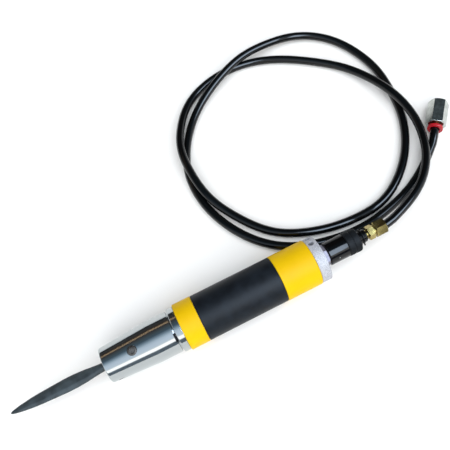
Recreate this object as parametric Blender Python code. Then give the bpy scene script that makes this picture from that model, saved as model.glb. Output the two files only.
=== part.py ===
"""Inline air hammer with a scraper blade, its hose and a push-in coupling.

The tool lies on the ground along X, blade towards -X and hose towards +X. Lengths along the tool
are in millimetres from the rear face of the end cap; clock angles are from the top towards -Y.
"""

import math

import bmesh
import bpy
from mathutils import Matrix, Vector

for old in list(bpy.data.objects):
    bpy.data.objects.remove(old, do_unlink=True)

MM = 0.001
SIDES = 32
SMALL_SIDES = 20

# Clearances
joint_line = 0.2
slip_fit = 0.15
press_gap = 0.1
ring_gap = 0.3

# Outside of the tool, rear to front
cap_length = 9.0
cap_radius = 20.3
cover_length = 32.7
cover_radius = 20.65
sleeve_length = 73.9
sleeve_radius = 20.5
ring_length = 16.9
ring_radius = 20.7
collar_length = 5.9
collar_radius = 19.65
groove_width = 0.9
nose_length = 63.1
nose_straight = 20.4
nose_radius = 18.35
nose_front_radius = 15.45
edge_round = 0.7
nose_edge_round = 1.5

# Housing, barrel and hammer
housing_radius = 18.3
housing_wall = 2.8
barrel_wall = 5.0
piston_radius = 9.85
piston_length = 48.0
piston_chamfer = 1.0
piston_groove = 0.4
piston_stroke = 35.5
anvil_gap = 0.5
barrel_head = 4.6
barrel_nozzle = 4.4
barrel_port_radius = 2.0
barrel_seal_radius = 0.8

# Sliding tool holder
chuck_radius = 7.9
chuck_recess = 0.6
chuck_travel = 4.0
flange_length = 3.4
flange_step = 3.2
anvil_radius = 6.0
anvil_reach = 4.0
buffer_length = 6.0
bush_wall = 1.85
bush_length = 9.5
bush_front = 12.7
wiper_length = 2.0
lip_length = 2.0
seat_thickness = 1.5
seat_offset = 33.2
spring_wire = 0.9
spring_turns = 5
guide_offset = 26.5
guide_radius = 4.0
guide_dog_radius = 2.5
guide_clock = 13.0
guide_depth = 1.8
hex_socket = 4.0
clamp_offset = 8.2
clamp_radius = 2.45
clamp_clock = 103.0
clamp_access_radius = 3.5

# Blade
shank_radius = 3.4
shank_length = 23.0
blade_length = 85.8
blade_half_width = 6.05
blade_half_thickness = 1.9

# Collar nut slots
slot_clock = 35.0
slot_width = 8.0
slot_depth = 0.9

# Valve and exhaust
spigot_length = 4.2
cap_pocket_floor = 2.5
exhaust_radius = 2.0
exhaust_offset = 5.0
exhaust_clocks = (-26.0, -50.0, -74.0, -98.0)
muffler_length = 5.0
muffler_wall = 2.0
valve_cap_length = 7.4
valve_seat_length = 4.5
valve_disc_radius = 7.5
valve_disc_thickness = 1.4
valve_lift = 0.6
air_passage = 3.0
notch_radius = 1.8

# Throttle, neck and inlet
stud_radius = 7.0
stud_length = 7.7
nut_flats = 17.0
nut_start = 0.6
nut_length = 4.8
body_length = 18.0
body_radius = 10.55
throttle_radius = 8.2
throttle_length = 9.1
knurl_radius = 10.9
knurl_length = 11.8
neck_radius = 5.85
neck_length = 10.9
clip_thickness = 0.9
clip_width = 1.9
clip_offset = 4.0
adapter_flats = 11.3
adapter_hex = 5.8
adapter_gap = 2.2
hose_nut_flats = 13.0
hose_nut_length = 10.3
hose_nut_gap = 1.3

# Hose and coupling
hose_radius = 4.0
hose_grip = 5.2
coupling_flats = 17.0
coupling_length = 26.0
coupling_gap = 2.05
coupling_socket_radius = 5.9
coupling_socket_depth = 11.8
coupling_angle = 49.5
release_radius = 7.25
release_thickness = 2.5
release_travel = 1.2
coupling_place = (99.3, 67.2)

# Positions that follow from the sizes
cap_front = -cap_length
cover_rear = cap_front - joint_line
cover_front = cover_rear - cover_length
sleeve_rear = cover_front - joint_line
sleeve_front = sleeve_rear - sleeve_length
ring_rear = sleeve_front - joint_line
ring_front = ring_rear - ring_length
collar_rear = ring_front - joint_line
collar_front = collar_rear - collar_length
nose_rear = collar_front - groove_width
nose_front = nose_rear - nose_length
blade_tip = nose_front - blade_length
housing_bore = housing_radius - housing_wall
spigot_radius = housing_bore - 2 * press_gap
axis_height = max(ring_radius, cover_radius, sleeve_radius, cap_radius)
valve_cap_rear = cap_front - spigot_length - ring_gap
valve_cap_front = valve_cap_rear - valve_cap_length
seat_rear = valve_cap_front - ring_gap
seat_front = seat_rear - valve_seat_length
barrel_rear = seat_front - ring_gap
barrel_bore = piston_radius + slip_fit
barrel_radius = min(barrel_bore + barrel_wall, housing_bore - 0.5)
nose_spigot_end = ring_front + 7.1
barrel_front = nose_spigot_end + ring_gap
barrel_floor = barrel_front + barrel_head
anvil_rear = barrel_floor + anvil_reach
piston_front = anvil_rear + anvil_gap + piston_stroke
piston_rear = piston_front + piston_length
nozzle_front = barrel_front - barrel_nozzle
buffer_rear = nozzle_front - ring_gap
buffer_front = buffer_rear - buffer_length
flange_rear = buffer_front - ring_gap
flange_front = flange_rear - flange_length
flange_radius = chuck_radius + flange_step
nose_bore = chuck_radius + slip_fit + bush_wall + press_gap
nose_rear_bore = flange_radius + 0.4
chuck_front = nose_front + chuck_recess
seat_washer_front = nose_front + seat_offset + slip_fit
seat_washer_rear = seat_washer_front + seat_thickness
spring_front = seat_washer_rear + ring_gap
spring_rear = flange_front - ring_gap
spring_radius = chuck_radius + spring_wire + 0.8
guide_x = nose_front + guide_offset
clamp_x = nose_front + clamp_offset
knurl_front = nut_start + nut_length + ring_gap + body_length + ring_gap
body_front = nut_start + nut_length + ring_gap
body_rear = body_front + body_length
throttle_end = body_rear + throttle_length
neck_end = throttle_end + neck_length
clip_x = neck_end - clip_offset
adapter_front = neck_end + adapter_gap
adapter_rear = adapter_front + adapter_hex
hose_nut_front = adapter_rear + hose_nut_gap
hose_nut_rear = hose_nut_front + hose_nut_length
hose_start = hose_nut_rear - hose_grip
tool_shift = -(blade_tip + hose_nut_rear) / 2


def surface(name, colour, roughness, metallic=0.0):
    material = bpy.data.materials.new(name)
    material.use_nodes = True
    shader = material.node_tree.nodes["Principled BSDF"]
    shader.inputs["Base Color"].default_value = (*colour, 1.0)
    shader.inputs["Roughness"].default_value = roughness
    shader.inputs["Metallic"].default_value = metallic
    return material


chrome = surface("chrome", (0.80, 0.81, 0.83), 0.08, 1.0)
steel = surface("steel", (0.55, 0.56, 0.58), 0.3, 1.0)
dark_steel = surface("dark_steel", (0.12, 0.13, 0.15), 0.45, 1.0)
aluminium = surface("aluminium", (0.62, 0.63, 0.66), 0.45, 1.0)
brass = surface("brass", (0.66, 0.55, 0.24), 0.25, 1.0)
bronze = surface("bronze", (0.50, 0.34, 0.18), 0.4, 1.0)
yellow = surface("yellow", (0.95, 0.62, 0.01), 0.25)
black_rubber = surface("black_rubber", (0.012, 0.014, 0.017), 0.55)
seal_rubber = surface("seal_rubber", (0.02, 0.02, 0.02), 0.6)
black_gloss = surface("black_gloss", (0.006, 0.006, 0.008), 0.12)
black_rough = surface("black_rough", (0.015, 0.015, 0.017), 0.65)
red_plastic = surface("red_plastic", (0.55, 0.015, 0.025), 0.25)
urethane = surface("urethane", (0.35, 0.22, 0.06), 0.5)
felt = surface("felt", (0.55, 0.53, 0.48), 0.95)


def finish(name, mesh, material, place):
    """A named object from a mesh builder, shaded smooth with creases kept."""
    bmesh.ops.remove_doubles(mesh, verts=mesh.verts, dist=1e-7)
    bmesh.ops.recalc_face_normals(mesh, faces=mesh.faces)
    data = bpy.data.meshes.new(name)
    mesh.to_mesh(data)
    mesh.free()
    data.shade_smooth()
    data.set_sharp_from_angle(angle=math.radians(32))
    made = bpy.data.objects.new(name, data)
    bpy.context.collection.objects.link(made)
    if material:
        data.materials.append(material)
    made.matrix_world = place
    return made


on_tool = Matrix.Translation((tool_shift * MM, 0, axis_height * MM))


def turned(name, outline, material, sides=SMALL_SIDES, place=on_tool):
    """A body turned about X from (x, radius) points; a body open at the axis ends on radius 0."""
    mesh = bmesh.new()
    verts = [mesh.verts.new((x * MM, 0, radius * MM)) for x, radius in outline]
    for first, second in zip(verts, verts[1:]):
        mesh.edges.new((first, second))
    if outline[0][1] > 0 or outline[-1][1] > 0:
        mesh.edges.new((verts[-1], verts[0]))
    bmesh.ops.spin(
        mesh,
        geom=list(mesh.verts) + list(mesh.edges),
        cent=(0, 0, 0),
        axis=(1, 0, 0),
        angle=2 * math.pi,
        steps=sides,
        use_merge=True,
    )
    return finish(name, mesh, material, place)


def tube_outline(start, end, inner, outer, edge=0.0):
    """Closed outline of a plain ring, with its two outer edges broken."""
    if edge <= 0:
        return [(start, inner), (start, outer), (end, outer), (end, inner)]
    return [
        (start, inner),
        (start, outer - edge),
        (start + edge, outer),
        (end - edge, outer),
        (end, outer - edge),
        (end, inner),
    ]


def o_ring(name, x, centre_radius, cord_radius, material=None, place=on_tool):
    steps = 6
    outline = [
        (
            x + cord_radius * math.cos(2 * math.pi * i / steps),
            centre_radius + cord_radius * math.sin(2 * math.pi * i / steps),
        )
        for i in range(steps)
    ]
    return turned(name, outline, material or seal_rubber, place=place)


def radial(clock):
    """Unit vector from the tool's axis at a clock angle."""
    angle = math.radians(clock)
    return Vector((0, -math.sin(angle), math.cos(angle)))


def rod(mesh, x, clock, radius, start, end, sides):
    """A rod across the axis, from one distance off it to another, added to a mesh builder."""
    direction = radial(clock)
    turn = direction.to_track_quat("Z", "X").to_matrix().to_4x4()
    middle = Vector((x * MM, 0, 0)) + direction * ((start + end) / 2 * MM)
    return bmesh.ops.create_cone(
        mesh,
        cap_ends=True,
        segments=sides,
        radius1=radius * MM,
        radius2=radius * MM,
        depth=(end - start) * MM,
        matrix=Matrix.Translation(middle) @ turn,
    )


def cutter(name, mesh, place=on_tool):
    made = finish(name, mesh, None, place)
    made.hide_render = True
    made.display_type = "WIRE"
    return made


def cut(target, tool):
    change = target.modifiers.new(tool.name, "BOOLEAN")
    change.operation = "DIFFERENCE"
    change.solver = "EXACT"
    change.object = tool


def radial_hole(target, name, x, clock, radius, start, end, sides=16):
    mesh = bmesh.new()
    rod(mesh, x, clock, radius, start, end, sides)
    cut(target, cutter(name, mesh))


def box_cut(target, name, x_from, x_to, clock, width, start, end):
    """Cuts a straight-sided slot that faces outward at a clock angle."""
    mesh = bmesh.new()
    direction = radial(clock)
    across = Vector((1, 0, 0)).cross(direction)
    middle = Vector(((x_from + x_to) / 2 * MM, 0, 0)) + direction * ((start + end) / 2 * MM)
    turn = Matrix((Vector((1, 0, 0)), across, direction)).transposed().to_4x4()
    size = Matrix.Diagonal(((x_to - x_from) * MM, width * MM, (end - start) * MM, 1))
    bmesh.ops.create_cube(mesh, size=1, matrix=Matrix.Translation(middle) @ turn @ size)
    cut(target, cutter(name, mesh))


def hex_bar(name, start, end, flats, material, bore, place=on_tool, corner_up=90.0):
    """A hexagon along X with chamfered corners and a turned bore given as (x, radius) points."""
    corner = flats / math.sqrt(3)
    mesh = bmesh.new()
    turn = Matrix.Rotation(math.radians(90), 4, "Y") @ Matrix.Rotation(math.radians(corner_up), 4, "Z")
    bmesh.ops.create_cone(
        mesh,
        cap_ends=True,
        segments=6,
        radius1=corner * MM,
        radius2=corner * MM,
        depth=(end - start) * MM,
        matrix=Matrix.Translation(((start + end) / 2 * MM, 0, 0)) @ turn,
    )
    made = finish(name, mesh, material, place)
    chamfer = corner - flats / 2
    shell = turned(
        name + "_chamfer",
        [
            (start - 1, corner + 2),
            (start - 1, flats / 2 - 0.35),
            (start, flats / 2 - 0.2),
            (start + chamfer * 0.6, corner + 0.1),
            (end - chamfer * 0.6, corner + 0.1),
            (end, flats / 2 - 0.2),
            (end + 1, flats / 2 - 0.35),
            (end + 1, corner + 2),
        ],
        None,
        SIDES,
        place,
    )
    shell.hide_render = True
    shell.display_type = "WIRE"
    cut(made, shell)
    hole = turned(name + "_bore", bore, None, SMALL_SIDES, place)
    hole.hide_render = True
    hole.display_type = "WIRE"
    cut(made, hole)
    return made


# Blade: a round shank that flattens into a leaf, widest after a third of its length.
# Share of the length out of the nose, then how far width, thickness and roundness have gone from shank to leaf
swell_sections = (
    (0.018, 0.0, 0.0, 0.0),
    (0.055, 0.17, 0.13, 0.1),
    (0.10, 0.32, 0.37, 0.35),
    (0.15, 0.49, 0.60, 0.6),
    (0.20, 0.70, 0.77, 0.8),
    (0.26, 0.87, 0.90, 1.0),
    (0.32, 0.97, 0.97, 1.0),
)
# Share of the length, then shares of the leaf's greatest width and thickness
taper_sections = (
    (0.38, 1.0, 1.0),
    (0.48, 0.955, 0.94),
    (0.58, 0.885, 0.88),
    (0.68, 0.81, 0.80),
    (0.76, 0.725, 0.74),
    (0.84, 0.59, 0.66),
    (0.90, 0.465, 0.58),
    (0.95, 0.33, 0.50),
    (0.985, 0.20, 0.40),
)


def blade_ring(mesh, x, half_width, half_thickness, flatness):
    """One cross-section: round at flatness 0, a thin lens with sharp edges at 1."""
    ring = []
    count = 20
    for i in range(count):
        angle = 2 * math.pi * i / count
        lens = math.copysign(abs(math.sin(angle)) ** (1 + 0.6 * flatness), math.sin(angle))
        ring.append(
            mesh.verts.new((x * MM, half_width * math.cos(angle) * MM, half_thickness * lens * MM))
        )
    return ring


mesh = bmesh.new()
rings = [
    blade_ring(mesh, nose_front + chuck_recess + shank_length - 0.8, shank_radius, shank_radius, 0),
]
rings.insert(0, blade_ring(mesh, nose_front + chuck_recess + shank_length, shank_radius - 0.6, shank_radius - 0.6, 0))
for share, width, thickness, flat in swell_sections:
    half_width = shank_radius + (blade_half_width - shank_radius) * width
    half_thickness = shank_radius + (blade_half_thickness - shank_radius) * thickness
    rings.append(blade_ring(mesh, nose_front - share * blade_length, half_width, half_thickness, flat))
for share, width, thickness in taper_sections:
    half_width = blade_half_width * width
    half_thickness = blade_half_thickness * thickness
    rings.append(blade_ring(mesh, nose_front - share * blade_length, half_width, half_thickness, 1))
for near, far in zip(rings, rings[1:]):
    for i in range(len(near)):
        j = (i + 1) % len(near)
        mesh.faces.new((near[i], near[j], far[j], far[i]))
mesh.faces.new(rings[0])
tip = mesh.verts.new((blade_tip * MM, 0, 0))
for i in range(len(rings[-1])):
    mesh.faces.new((rings[-1][i], rings[-1][(i + 1) % len(rings[-1])], tip))
finish("blade", mesh, dark_steel, on_tool)

# Sliding chuck: shank socket in front, flange for the spring, anvil stem behind
shank_bore = shank_radius + slip_fit
chuck = turned(
    "chuck",
    [
        (chuck_front + shank_length + 2.0, 0),
        (chuck_front + shank_length + 0.6, shank_bore),
        (chuck_front, shank_bore),
        (chuck_front, chuck_radius - edge_round),
        (chuck_front + edge_round, chuck_radius),
        (flange_front, chuck_radius),
        (flange_front, flange_radius),
        (flange_rear, flange_radius),
        (flange_rear, anvil_radius),
        (anvil_rear - 0.6, anvil_radius),
        (anvil_rear, anvil_radius - 0.6),
        (anvil_rear, 0),
    ],
    steel,
)
slot_from = guide_x - guide_dog_radius - ring_gap
slot_to = guide_x + guide_dog_radius + ring_gap + chuck_travel
slot_floor = chuck_radius - guide_depth - 0.2
for number, clock in enumerate((guide_clock, guide_clock + 180)):
    box_cut(
        chuck,
        f"chuck_slot_{number + 1}",
        slot_from,
        slot_to,
        clock,
        2 * guide_dog_radius + 0.4,
        slot_floor,
        chuck_radius + 2,
    )
radial_hole(chuck, "chuck_clamp_hole", clamp_x, clamp_clock, clamp_radius + slip_fit, 0, chuck_radius + 1)


def set_screw(name, x, clock, radius, tip_radius, tip_at, shoulder_at, top_at, socket):
    """A set screw across the axis with a hexagon socket and a narrower tip."""
    mesh = bmesh.new()
    outline = [
        (0, tip_at),
        (tip_radius, tip_at),
        (tip_radius, shoulder_at),
        (radius, shoulder_at),
        (radius, top_at - 0.4),
        (radius - 0.4, top_at),
        (0, top_at),
    ]
    verts = [mesh.verts.new((r * MM, 0, z * MM)) for r, z in outline]
    for first, second in zip(verts, verts[1:]):
        mesh.edges.new((first, second))
    bmesh.ops.spin(
        mesh,
        geom=list(mesh.verts) + list(mesh.edges),
        cent=(0, 0, 0),
        axis=(0, 0, 1),
        angle=2 * math.pi,
        steps=16,
        use_merge=True,
    )
    turn = radial(clock).to_track_quat("Z", "X").to_matrix().to_4x4()
    place = on_tool @ Matrix.Translation((x * MM, 0, 0)) @ turn
    made = finish(name, mesh, dark_steel, place)
    mesh = bmesh.new()
    bmesh.ops.create_cone(
        mesh,
        cap_ends=True,
        segments=6,
        radius1=socket / math.sqrt(3) * MM,
        radius2=socket / math.sqrt(3) * MM,
        depth=2 * socket * 0.6 * MM,
        matrix=Matrix.Translation((0, 0, top_at * MM)),
    )
    cut(made, cutter(name + "_socket", mesh, place))
    return made


clamp_tip = shank_radius + 0.1
set_screw(
    "blade_clamp_screw",
    clamp_x,
    clamp_clock,
    clamp_radius,
    clamp_radius - 0.5,
    clamp_tip,
    clamp_tip + 0.6,
    chuck_radius - 0.2,
    2.5,
)


def nose_outer(x):
    """Outside radius of the nose at a place along the tool."""
    taper_end = nose_rear - nose_straight
    share = (x - nose_front) / (taper_end - nose_front)
    return nose_front_radius + (nose_radius - nose_front_radius) * min(1.0, max(0.0, share))


nose = turned(
    "nose_cone",
    [
        (nose_front + 0.3, chuck_radius + 0.4),
        (nose_front, chuck_radius + 0.9),
        (nose_front, nose_outer(nose_front) - nose_edge_round),
        (nose_front + 0.45, nose_outer(nose_front) - 0.45),
        (nose_front + nose_edge_round, nose_outer(nose_front + nose_edge_round)),
        (nose_rear - nose_straight, nose_radius),
        (nose_rear - 0.4, nose_radius),
        (nose_rear, nose_radius - 0.4),
        (nose_rear, spigot_radius),
        (nose_spigot_end, spigot_radius),
        (nose_spigot_end, nose_rear_bore),
        (nose_front + seat_offset, nose_rear_bore),
        (nose_front + seat_offset, nose_bore),
        (nose_front + lip_length, nose_bore),
        (nose_front + lip_length, chuck_radius + 0.4),
    ],
    chrome,
    SIDES,
)
for number, clock in enumerate((guide_clock, guide_clock + 180)):
    radial_hole(
        nose,
        f"nose_guide_hole_{number + 1}",
        guide_x,
        clock,
        guide_radius + slip_fit,
        nose_bore - 3,
        nose_radius + 2,
    )
    box_cut(
        nose,
        f"nose_slot_{number + 1}",
        nose_rear - slot_depth,
        nose_rear + groove_width / 2,
        slot_clock + 180 * number,
        slot_width,
        spigot_radius + 0.3,
        nose_radius + 2,
    )
    set_screw(
        f"guide_screw_{number + 1}",
        guide_x,
        clock,
        guide_radius,
        guide_dog_radius,
        chuck_radius - guide_depth,
        nose_bore + 0.4,
        nose_outer(guide_x) - 0.3,
        hex_socket,
    )
radial_hole(nose, "nose_clamp_access", clamp_x, clamp_clock, clamp_access_radius, nose_bore - 3, nose_radius + 2)

bush_bore = chuck_radius + slip_fit
turned(
    "nose_bush",
    tube_outline(nose_front + bush_front, nose_front + bush_front + bush_length, bush_bore, bush_bore + bush_wall),
    bronze,
)
wiper_front = nose_front + lip_length + ring_gap
turned("front_wiper", tube_outline(wiper_front, wiper_front + wiper_length, bush_bore, nose_bore - 0.2), seal_rubber)
turned(
    "spring_seat",
    tube_outline(seat_washer_front, seat_washer_rear, chuck_radius + 0.3, nose_rear_bore - 0.2),
    steel,
)
turned(
    "buffer_ring",
    tube_outline(buffer_front, buffer_rear, anvil_radius + 0.4, nose_rear_bore - 0.3, 0.5),
    urethane,
)


def coil(name, start, end, radius, wire, turns, material):
    """A round-wire coil about X with a closed tube of wire."""
    per_turn = 12
    data = bpy.data.curves.new(name, "CURVE")
    data.dimensions = "3D"
    data.bevel_depth = wire * MM
    data.bevel_resolution = 1
    data.use_fill_caps = True
    data.render_resolution_u = 0
    line = data.splines.new("POLY")
    count = turns * per_turn
    line.points.add(count)
    for i in range(count + 1):
        angle = 2 * math.pi * i / per_turn
        x = start + wire + (end - start - 2 * wire) * i / count
        line.points[i].co = (x * MM, radius * math.sin(angle) * MM, radius * math.cos(angle) * MM, 1)
    made = bpy.data.objects.new(name, data)
    bpy.context.collection.objects.link(made)
    data.materials.append(material)
    made.matrix_world = on_tool
    return made


coil("return_spring", spring_front, spring_rear, spring_radius, spring_wire, spring_turns, steel)

# Rings, sleeve and covers on the housing tube
turned(
    "front_collar",
    tube_outline(collar_front, collar_rear, spigot_radius + ring_gap, collar_radius, 0.5),
    chrome,
    SIDES,
)
housing_fit = housing_radius + slip_fit
turned("front_ring", tube_outline(ring_front, ring_rear, housing_fit, ring_radius, edge_round), yellow, SIDES)
turned("grip_sleeve", tube_outline(sleeve_front, sleeve_rear, housing_fit, sleeve_radius, 0.5), black_rubber, SIDES)
turned("rear_cover", tube_outline(cover_front, cover_rear, housing_fit, cover_radius, edge_round), yellow, SIDES)
turned("housing_tube", tube_outline(ring_front, cover_rear, housing_bore, housing_radius), aluminium, SIDES)

# Barrel with its seals, and the free hammer piston
seal_centre = housing_bore - press_gap - barrel_seal_radius
seal_groove = seal_centre - barrel_seal_radius - press_gap
seal_half = barrel_seal_radius + 0.2
seal_front_x = barrel_front + 3.0
seal_rear_x = barrel_rear - 3.0
barrel = turned(
    "cylinder",
    [
        (nozzle_front, anvil_radius + 0.2),
        (nozzle_front, nose_rear_bore - 0.3),
        (barrel_front, nose_rear_bore - 0.3),
        (barrel_front, barrel_radius),
        (seal_front_x - seal_half, barrel_radius),
        (seal_front_x - seal_half, seal_groove),
        (seal_front_x + seal_half, seal_groove),
        (seal_front_x + seal_half, barrel_radius),
        (seal_rear_x - seal_half, barrel_radius),
        (seal_rear_x - seal_half, seal_groove),
        (seal_rear_x + seal_half, seal_groove),
        (seal_rear_x + seal_half, barrel_radius),
        (barrel_rear, barrel_radius),
        (barrel_rear, barrel_bore),
        (barrel_floor, barrel_bore),
        (barrel_floor, anvil_radius + 0.2),
    ],
    steel,
    SIDES,
)
for number in range(4):
    radial_hole(
        barrel,
        f"barrel_port_{number + 1}",
        (barrel_floor + barrel_rear) / 2,
        45 + 90 * number,
        barrel_port_radius,
        barrel_bore - 3,
        barrel_radius + 2,
        12,
    )
o_ring("cylinder_seal_front", seal_front_x, seal_centre, barrel_seal_radius)
o_ring("cylinder_seal_rear", seal_rear_x, seal_centre, barrel_seal_radius)

piston_outline = [
    (piston_front, 0),
    (piston_front, piston_radius - piston_chamfer),
    (piston_front + piston_chamfer, piston_radius),
]
for share in (0.2, 0.8):
    groove_x = piston_front + share * piston_length
    piston_outline += [
        (groove_x - 1, piston_radius),
        (groove_x - 1, piston_radius - piston_groove),
        (groove_x + 1, piston_radius - piston_groove),
        (groove_x + 1, piston_radius),
    ]
piston_outline += [
    (piston_rear - piston_chamfer, piston_radius),
    (piston_rear, piston_radius - piston_chamfer),
    (piston_rear, 0),
]
turned("piston", piston_outline, steel)

# Plate valve behind the barrel
chamber_radius = valve_disc_radius + 0.4
chamber_depth = valve_disc_thickness + valve_lift + 0.3
valve_seat = turned(
    "valve_seat",
    [
        (seat_front, air_passage + 1),
        (seat_front, spigot_radius),
        (seat_rear, spigot_radius),
        (seat_rear, chamber_radius),
        (seat_rear - chamber_depth, chamber_radius),
        (seat_rear - chamber_depth, air_passage + 1),
    ],
    steel,
)
disc_front = seat_rear - chamber_depth + 0.15
disc_rear = disc_front + valve_disc_thickness
turned(
    "valve_disc",
    [(disc_front, 0), (disc_front, valve_disc_radius), (disc_rear, valve_disc_radius), (disc_rear, 0)],
    steel,
)
valve_cap = turned("valve_cap", tube_outline(valve_cap_front, valve_cap_rear, air_passage, spigot_radius, 0.4), steel)
for number in range(4):
    clock = 90 * number
    middle = radial(clock) * (spigot_radius * MM)
    for target, start, end in ((valve_seat, seat_front, seat_rear), (valve_cap, valve_cap_front, valve_cap_rear)):
        mesh = bmesh.new()
        bmesh.ops.create_cone(
            mesh,
            cap_ends=True,
            segments=12,
            radius1=notch_radius * MM,
            radius2=notch_radius * MM,
            depth=(end - start + 2) * MM,
            matrix=Matrix.Translation(middle + Vector(((start + end) / 2 * MM, 0, 0)))
            @ Matrix.Rotation(math.radians(90), 4, "Y"),
        )
        cut(target, cutter(f"{target.name}_notch_{number + 1}", mesh))

# End cap with an exhaust groove inside and a row of ports on one side
cap_spigot = cap_front - spigot_length
cap_seal_x = cap_spigot + 2.0
cap_seal_radius = 0.7
cap_seal_centre = housing_bore - press_gap - cap_seal_radius
cap_groove = cap_seal_centre - cap_seal_radius - press_gap
pocket_outer = cap_groove - 0.9
pocket_inner = pocket_outer - muffler_wall - 0.4
end_cap = turned(
    "end_cap",
    [
        (cap_spigot, air_passage),
        (cap_spigot, pocket_inner),
        (-cap_pocket_floor, pocket_inner),
        (-cap_pocket_floor, pocket_outer),
        (cap_spigot, pocket_outer),
        (cap_spigot, spigot_radius),
        (cap_seal_x - cap_seal_radius - 0.2, spigot_radius),
        (cap_seal_x - cap_seal_radius - 0.2, cap_groove),
        (cap_seal_x + cap_seal_radius + 0.2, cap_groove),
        (cap_seal_x + cap_seal_radius + 0.2, spigot_radius),
        (cap_front, spigot_radius),
        (cap_front, cap_radius - 0.3),
        (cap_front + 0.3, cap_radius),
        (-edge_round, cap_radius),
        (-0.2, cap_radius - 0.2),
        (0, cap_radius - edge_round),
        (0, stud_radius + slip_fit),
        (-stud_length - ring_gap, stud_radius + slip_fit),
        (-stud_length - ring_gap, air_passage),
    ],
    aluminium,
    SIDES,
)
for number, clock in enumerate(exhaust_clocks):
    radial_hole(
        end_cap,
        f"exhaust_port_{number + 1}",
        -exhaust_offset,
        clock,
        exhaust_radius,
        (pocket_inner + pocket_outer) / 2,
        cap_radius + 2,
    )
o_ring("end_cap_seal", cap_seal_x, cap_seal_centre, cap_seal_radius)
turned(
    "exhaust_muffler",
    tube_outline(
        cap_spigot + 0.2, cap_spigot + 0.2 + muffler_length, pocket_inner + 0.2, pocket_outer - 0.2
    ),
    felt,
)

# Lock nut, throttle body with its neck, and the collar that slides on it
def bore_through(start, end, radius):
    return [(start - 1, 0), (start - 1, radius), (end + 1, radius), (end + 1, 0)]


nut_end = nut_start + nut_length
hex_bar(
    "lock_nut",
    nut_start,
    nut_end,
    nut_flats,
    steel,
    bore_through(nut_start, nut_end, stud_radius + slip_fit),
)

seal_cord = 0.7
front_seal_x = body_rear + 2.4
front_seal_centre = throttle_radius - 0.6
front_groove = front_seal_centre - seal_cord - press_gap
rear_seal_x = throttle_end + 1.6
rear_seal_centre = neck_radius - 0.4
rear_groove = rear_seal_centre - seal_cord - press_gap
groove_half = seal_cord + 0.2
clip_groove = neck_radius - 0.6
inlet_bore = neck_radius - 1.45
air_bore = 2.4
inlet_depth = 6.4
throttle_body = turned(
    "throttle_body",
    [
        (-stud_length, air_bore),
        (-stud_length, stud_radius - 0.4),
        (-stud_length + 0.4, stud_radius),
        (body_front, stud_radius),
        (body_front, body_radius - 0.6),
        (body_front + 0.6, body_radius),
        (body_rear - 0.3, body_radius),
        (body_rear, body_radius - 0.3),
        (body_rear, throttle_radius),
        (front_seal_x - groove_half, throttle_radius),
        (front_seal_x - groove_half, front_groove),
        (front_seal_x + groove_half, front_groove),
        (front_seal_x + groove_half, throttle_radius),
        (throttle_end, throttle_radius),
        (throttle_end, neck_radius),
        (rear_seal_x - groove_half, neck_radius),
        (rear_seal_x - groove_half, rear_groove),
        (rear_seal_x + groove_half, rear_groove),
        (rear_seal_x + groove_half, neck_radius),
        (clip_x - clip_thickness / 2 - 0.1, neck_radius),
        (clip_x - clip_thickness / 2 - 0.1, clip_groove),
        (clip_x + clip_thickness / 2 + 0.1, clip_groove),
        (clip_x + clip_thickness / 2 + 0.1, neck_radius),
        (neck_end - 0.6, neck_radius),
        (neck_end, neck_radius - 0.6),
        (neck_end, inlet_bore),
        (neck_end - inlet_depth, inlet_bore),
        (neck_end - inlet_depth, air_bore),
    ],
    black_gloss,
    SIDES,
)
for number in range(2):
    radial_hole(
        throttle_body,
        f"air_port_{number + 1}",
        throttle_end - 3.0,
        85 + 180 * number,
        1.2,
        0.5,
        throttle_radius + 2,
        12,
    )
o_ring("throttle_seal_front", front_seal_x, front_seal_centre, seal_cord)
o_ring("throttle_seal_rear", rear_seal_x, rear_seal_centre, seal_cord)

knurl_rear = knurl_front + knurl_length
knurl_middle = (knurl_front + knurl_rear) / 2
turned(
    "throttle_collar",
    [
        (knurl_front, throttle_radius + ring_gap),
        (knurl_front, knurl_radius - 0.4),
        (knurl_front + 0.4, knurl_radius),
        (knurl_middle - 0.5, knurl_radius),
        (knurl_middle - 0.3, knurl_radius - 0.5),
        (knurl_middle + 0.3, knurl_radius - 0.5),
        (knurl_middle + 0.5, knurl_radius),
        (knurl_rear - 0.9, knurl_radius),
        (knurl_rear, knurl_radius - 0.9),
        (knurl_rear, neck_radius + ring_gap),
        (throttle_end + ring_gap, neck_radius + ring_gap),
        (throttle_end + ring_gap, throttle_radius + ring_gap),
    ],
    black_rough,
    SIDES,
)

# Spring clip on the neck: an open ring with an ear at each end
clip_gap = 34.0
clip_clock = 128.0
clip_inner = clip_groove + press_gap
clip_outer = clip_inner + clip_width
mesh = bmesh.new()
half = clip_thickness / 2
corners = ((-half, clip_inner), (-half, clip_outer), (half, clip_outer), (half, clip_inner))
steps = 20
sweep = 360.0 - clip_gap
rings = []
for i in range(steps + 1):
    direction = radial(clip_clock + clip_gap / 2 + sweep * i / steps)
    ring = []
    for x, radius in corners:
        at_end = i in (0, steps) and radius == clip_outer
        reach = radius + 1.0 if at_end else radius
        ring.append(mesh.verts.new(Vector(((clip_x + x) * MM, 0, 0)) + direction * (reach * MM)))
    rings.append(ring)
for near, far in zip(rings, rings[1:]):
    for i in range(4):
        j = (i + 1) % 4
        mesh.faces.new((near[i], near[j], far[j], far[i]))
mesh.faces.new(rings[0])
mesh.faces.new(rings[-1])
finish("collar_clip", mesh, steel, on_tool)

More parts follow.
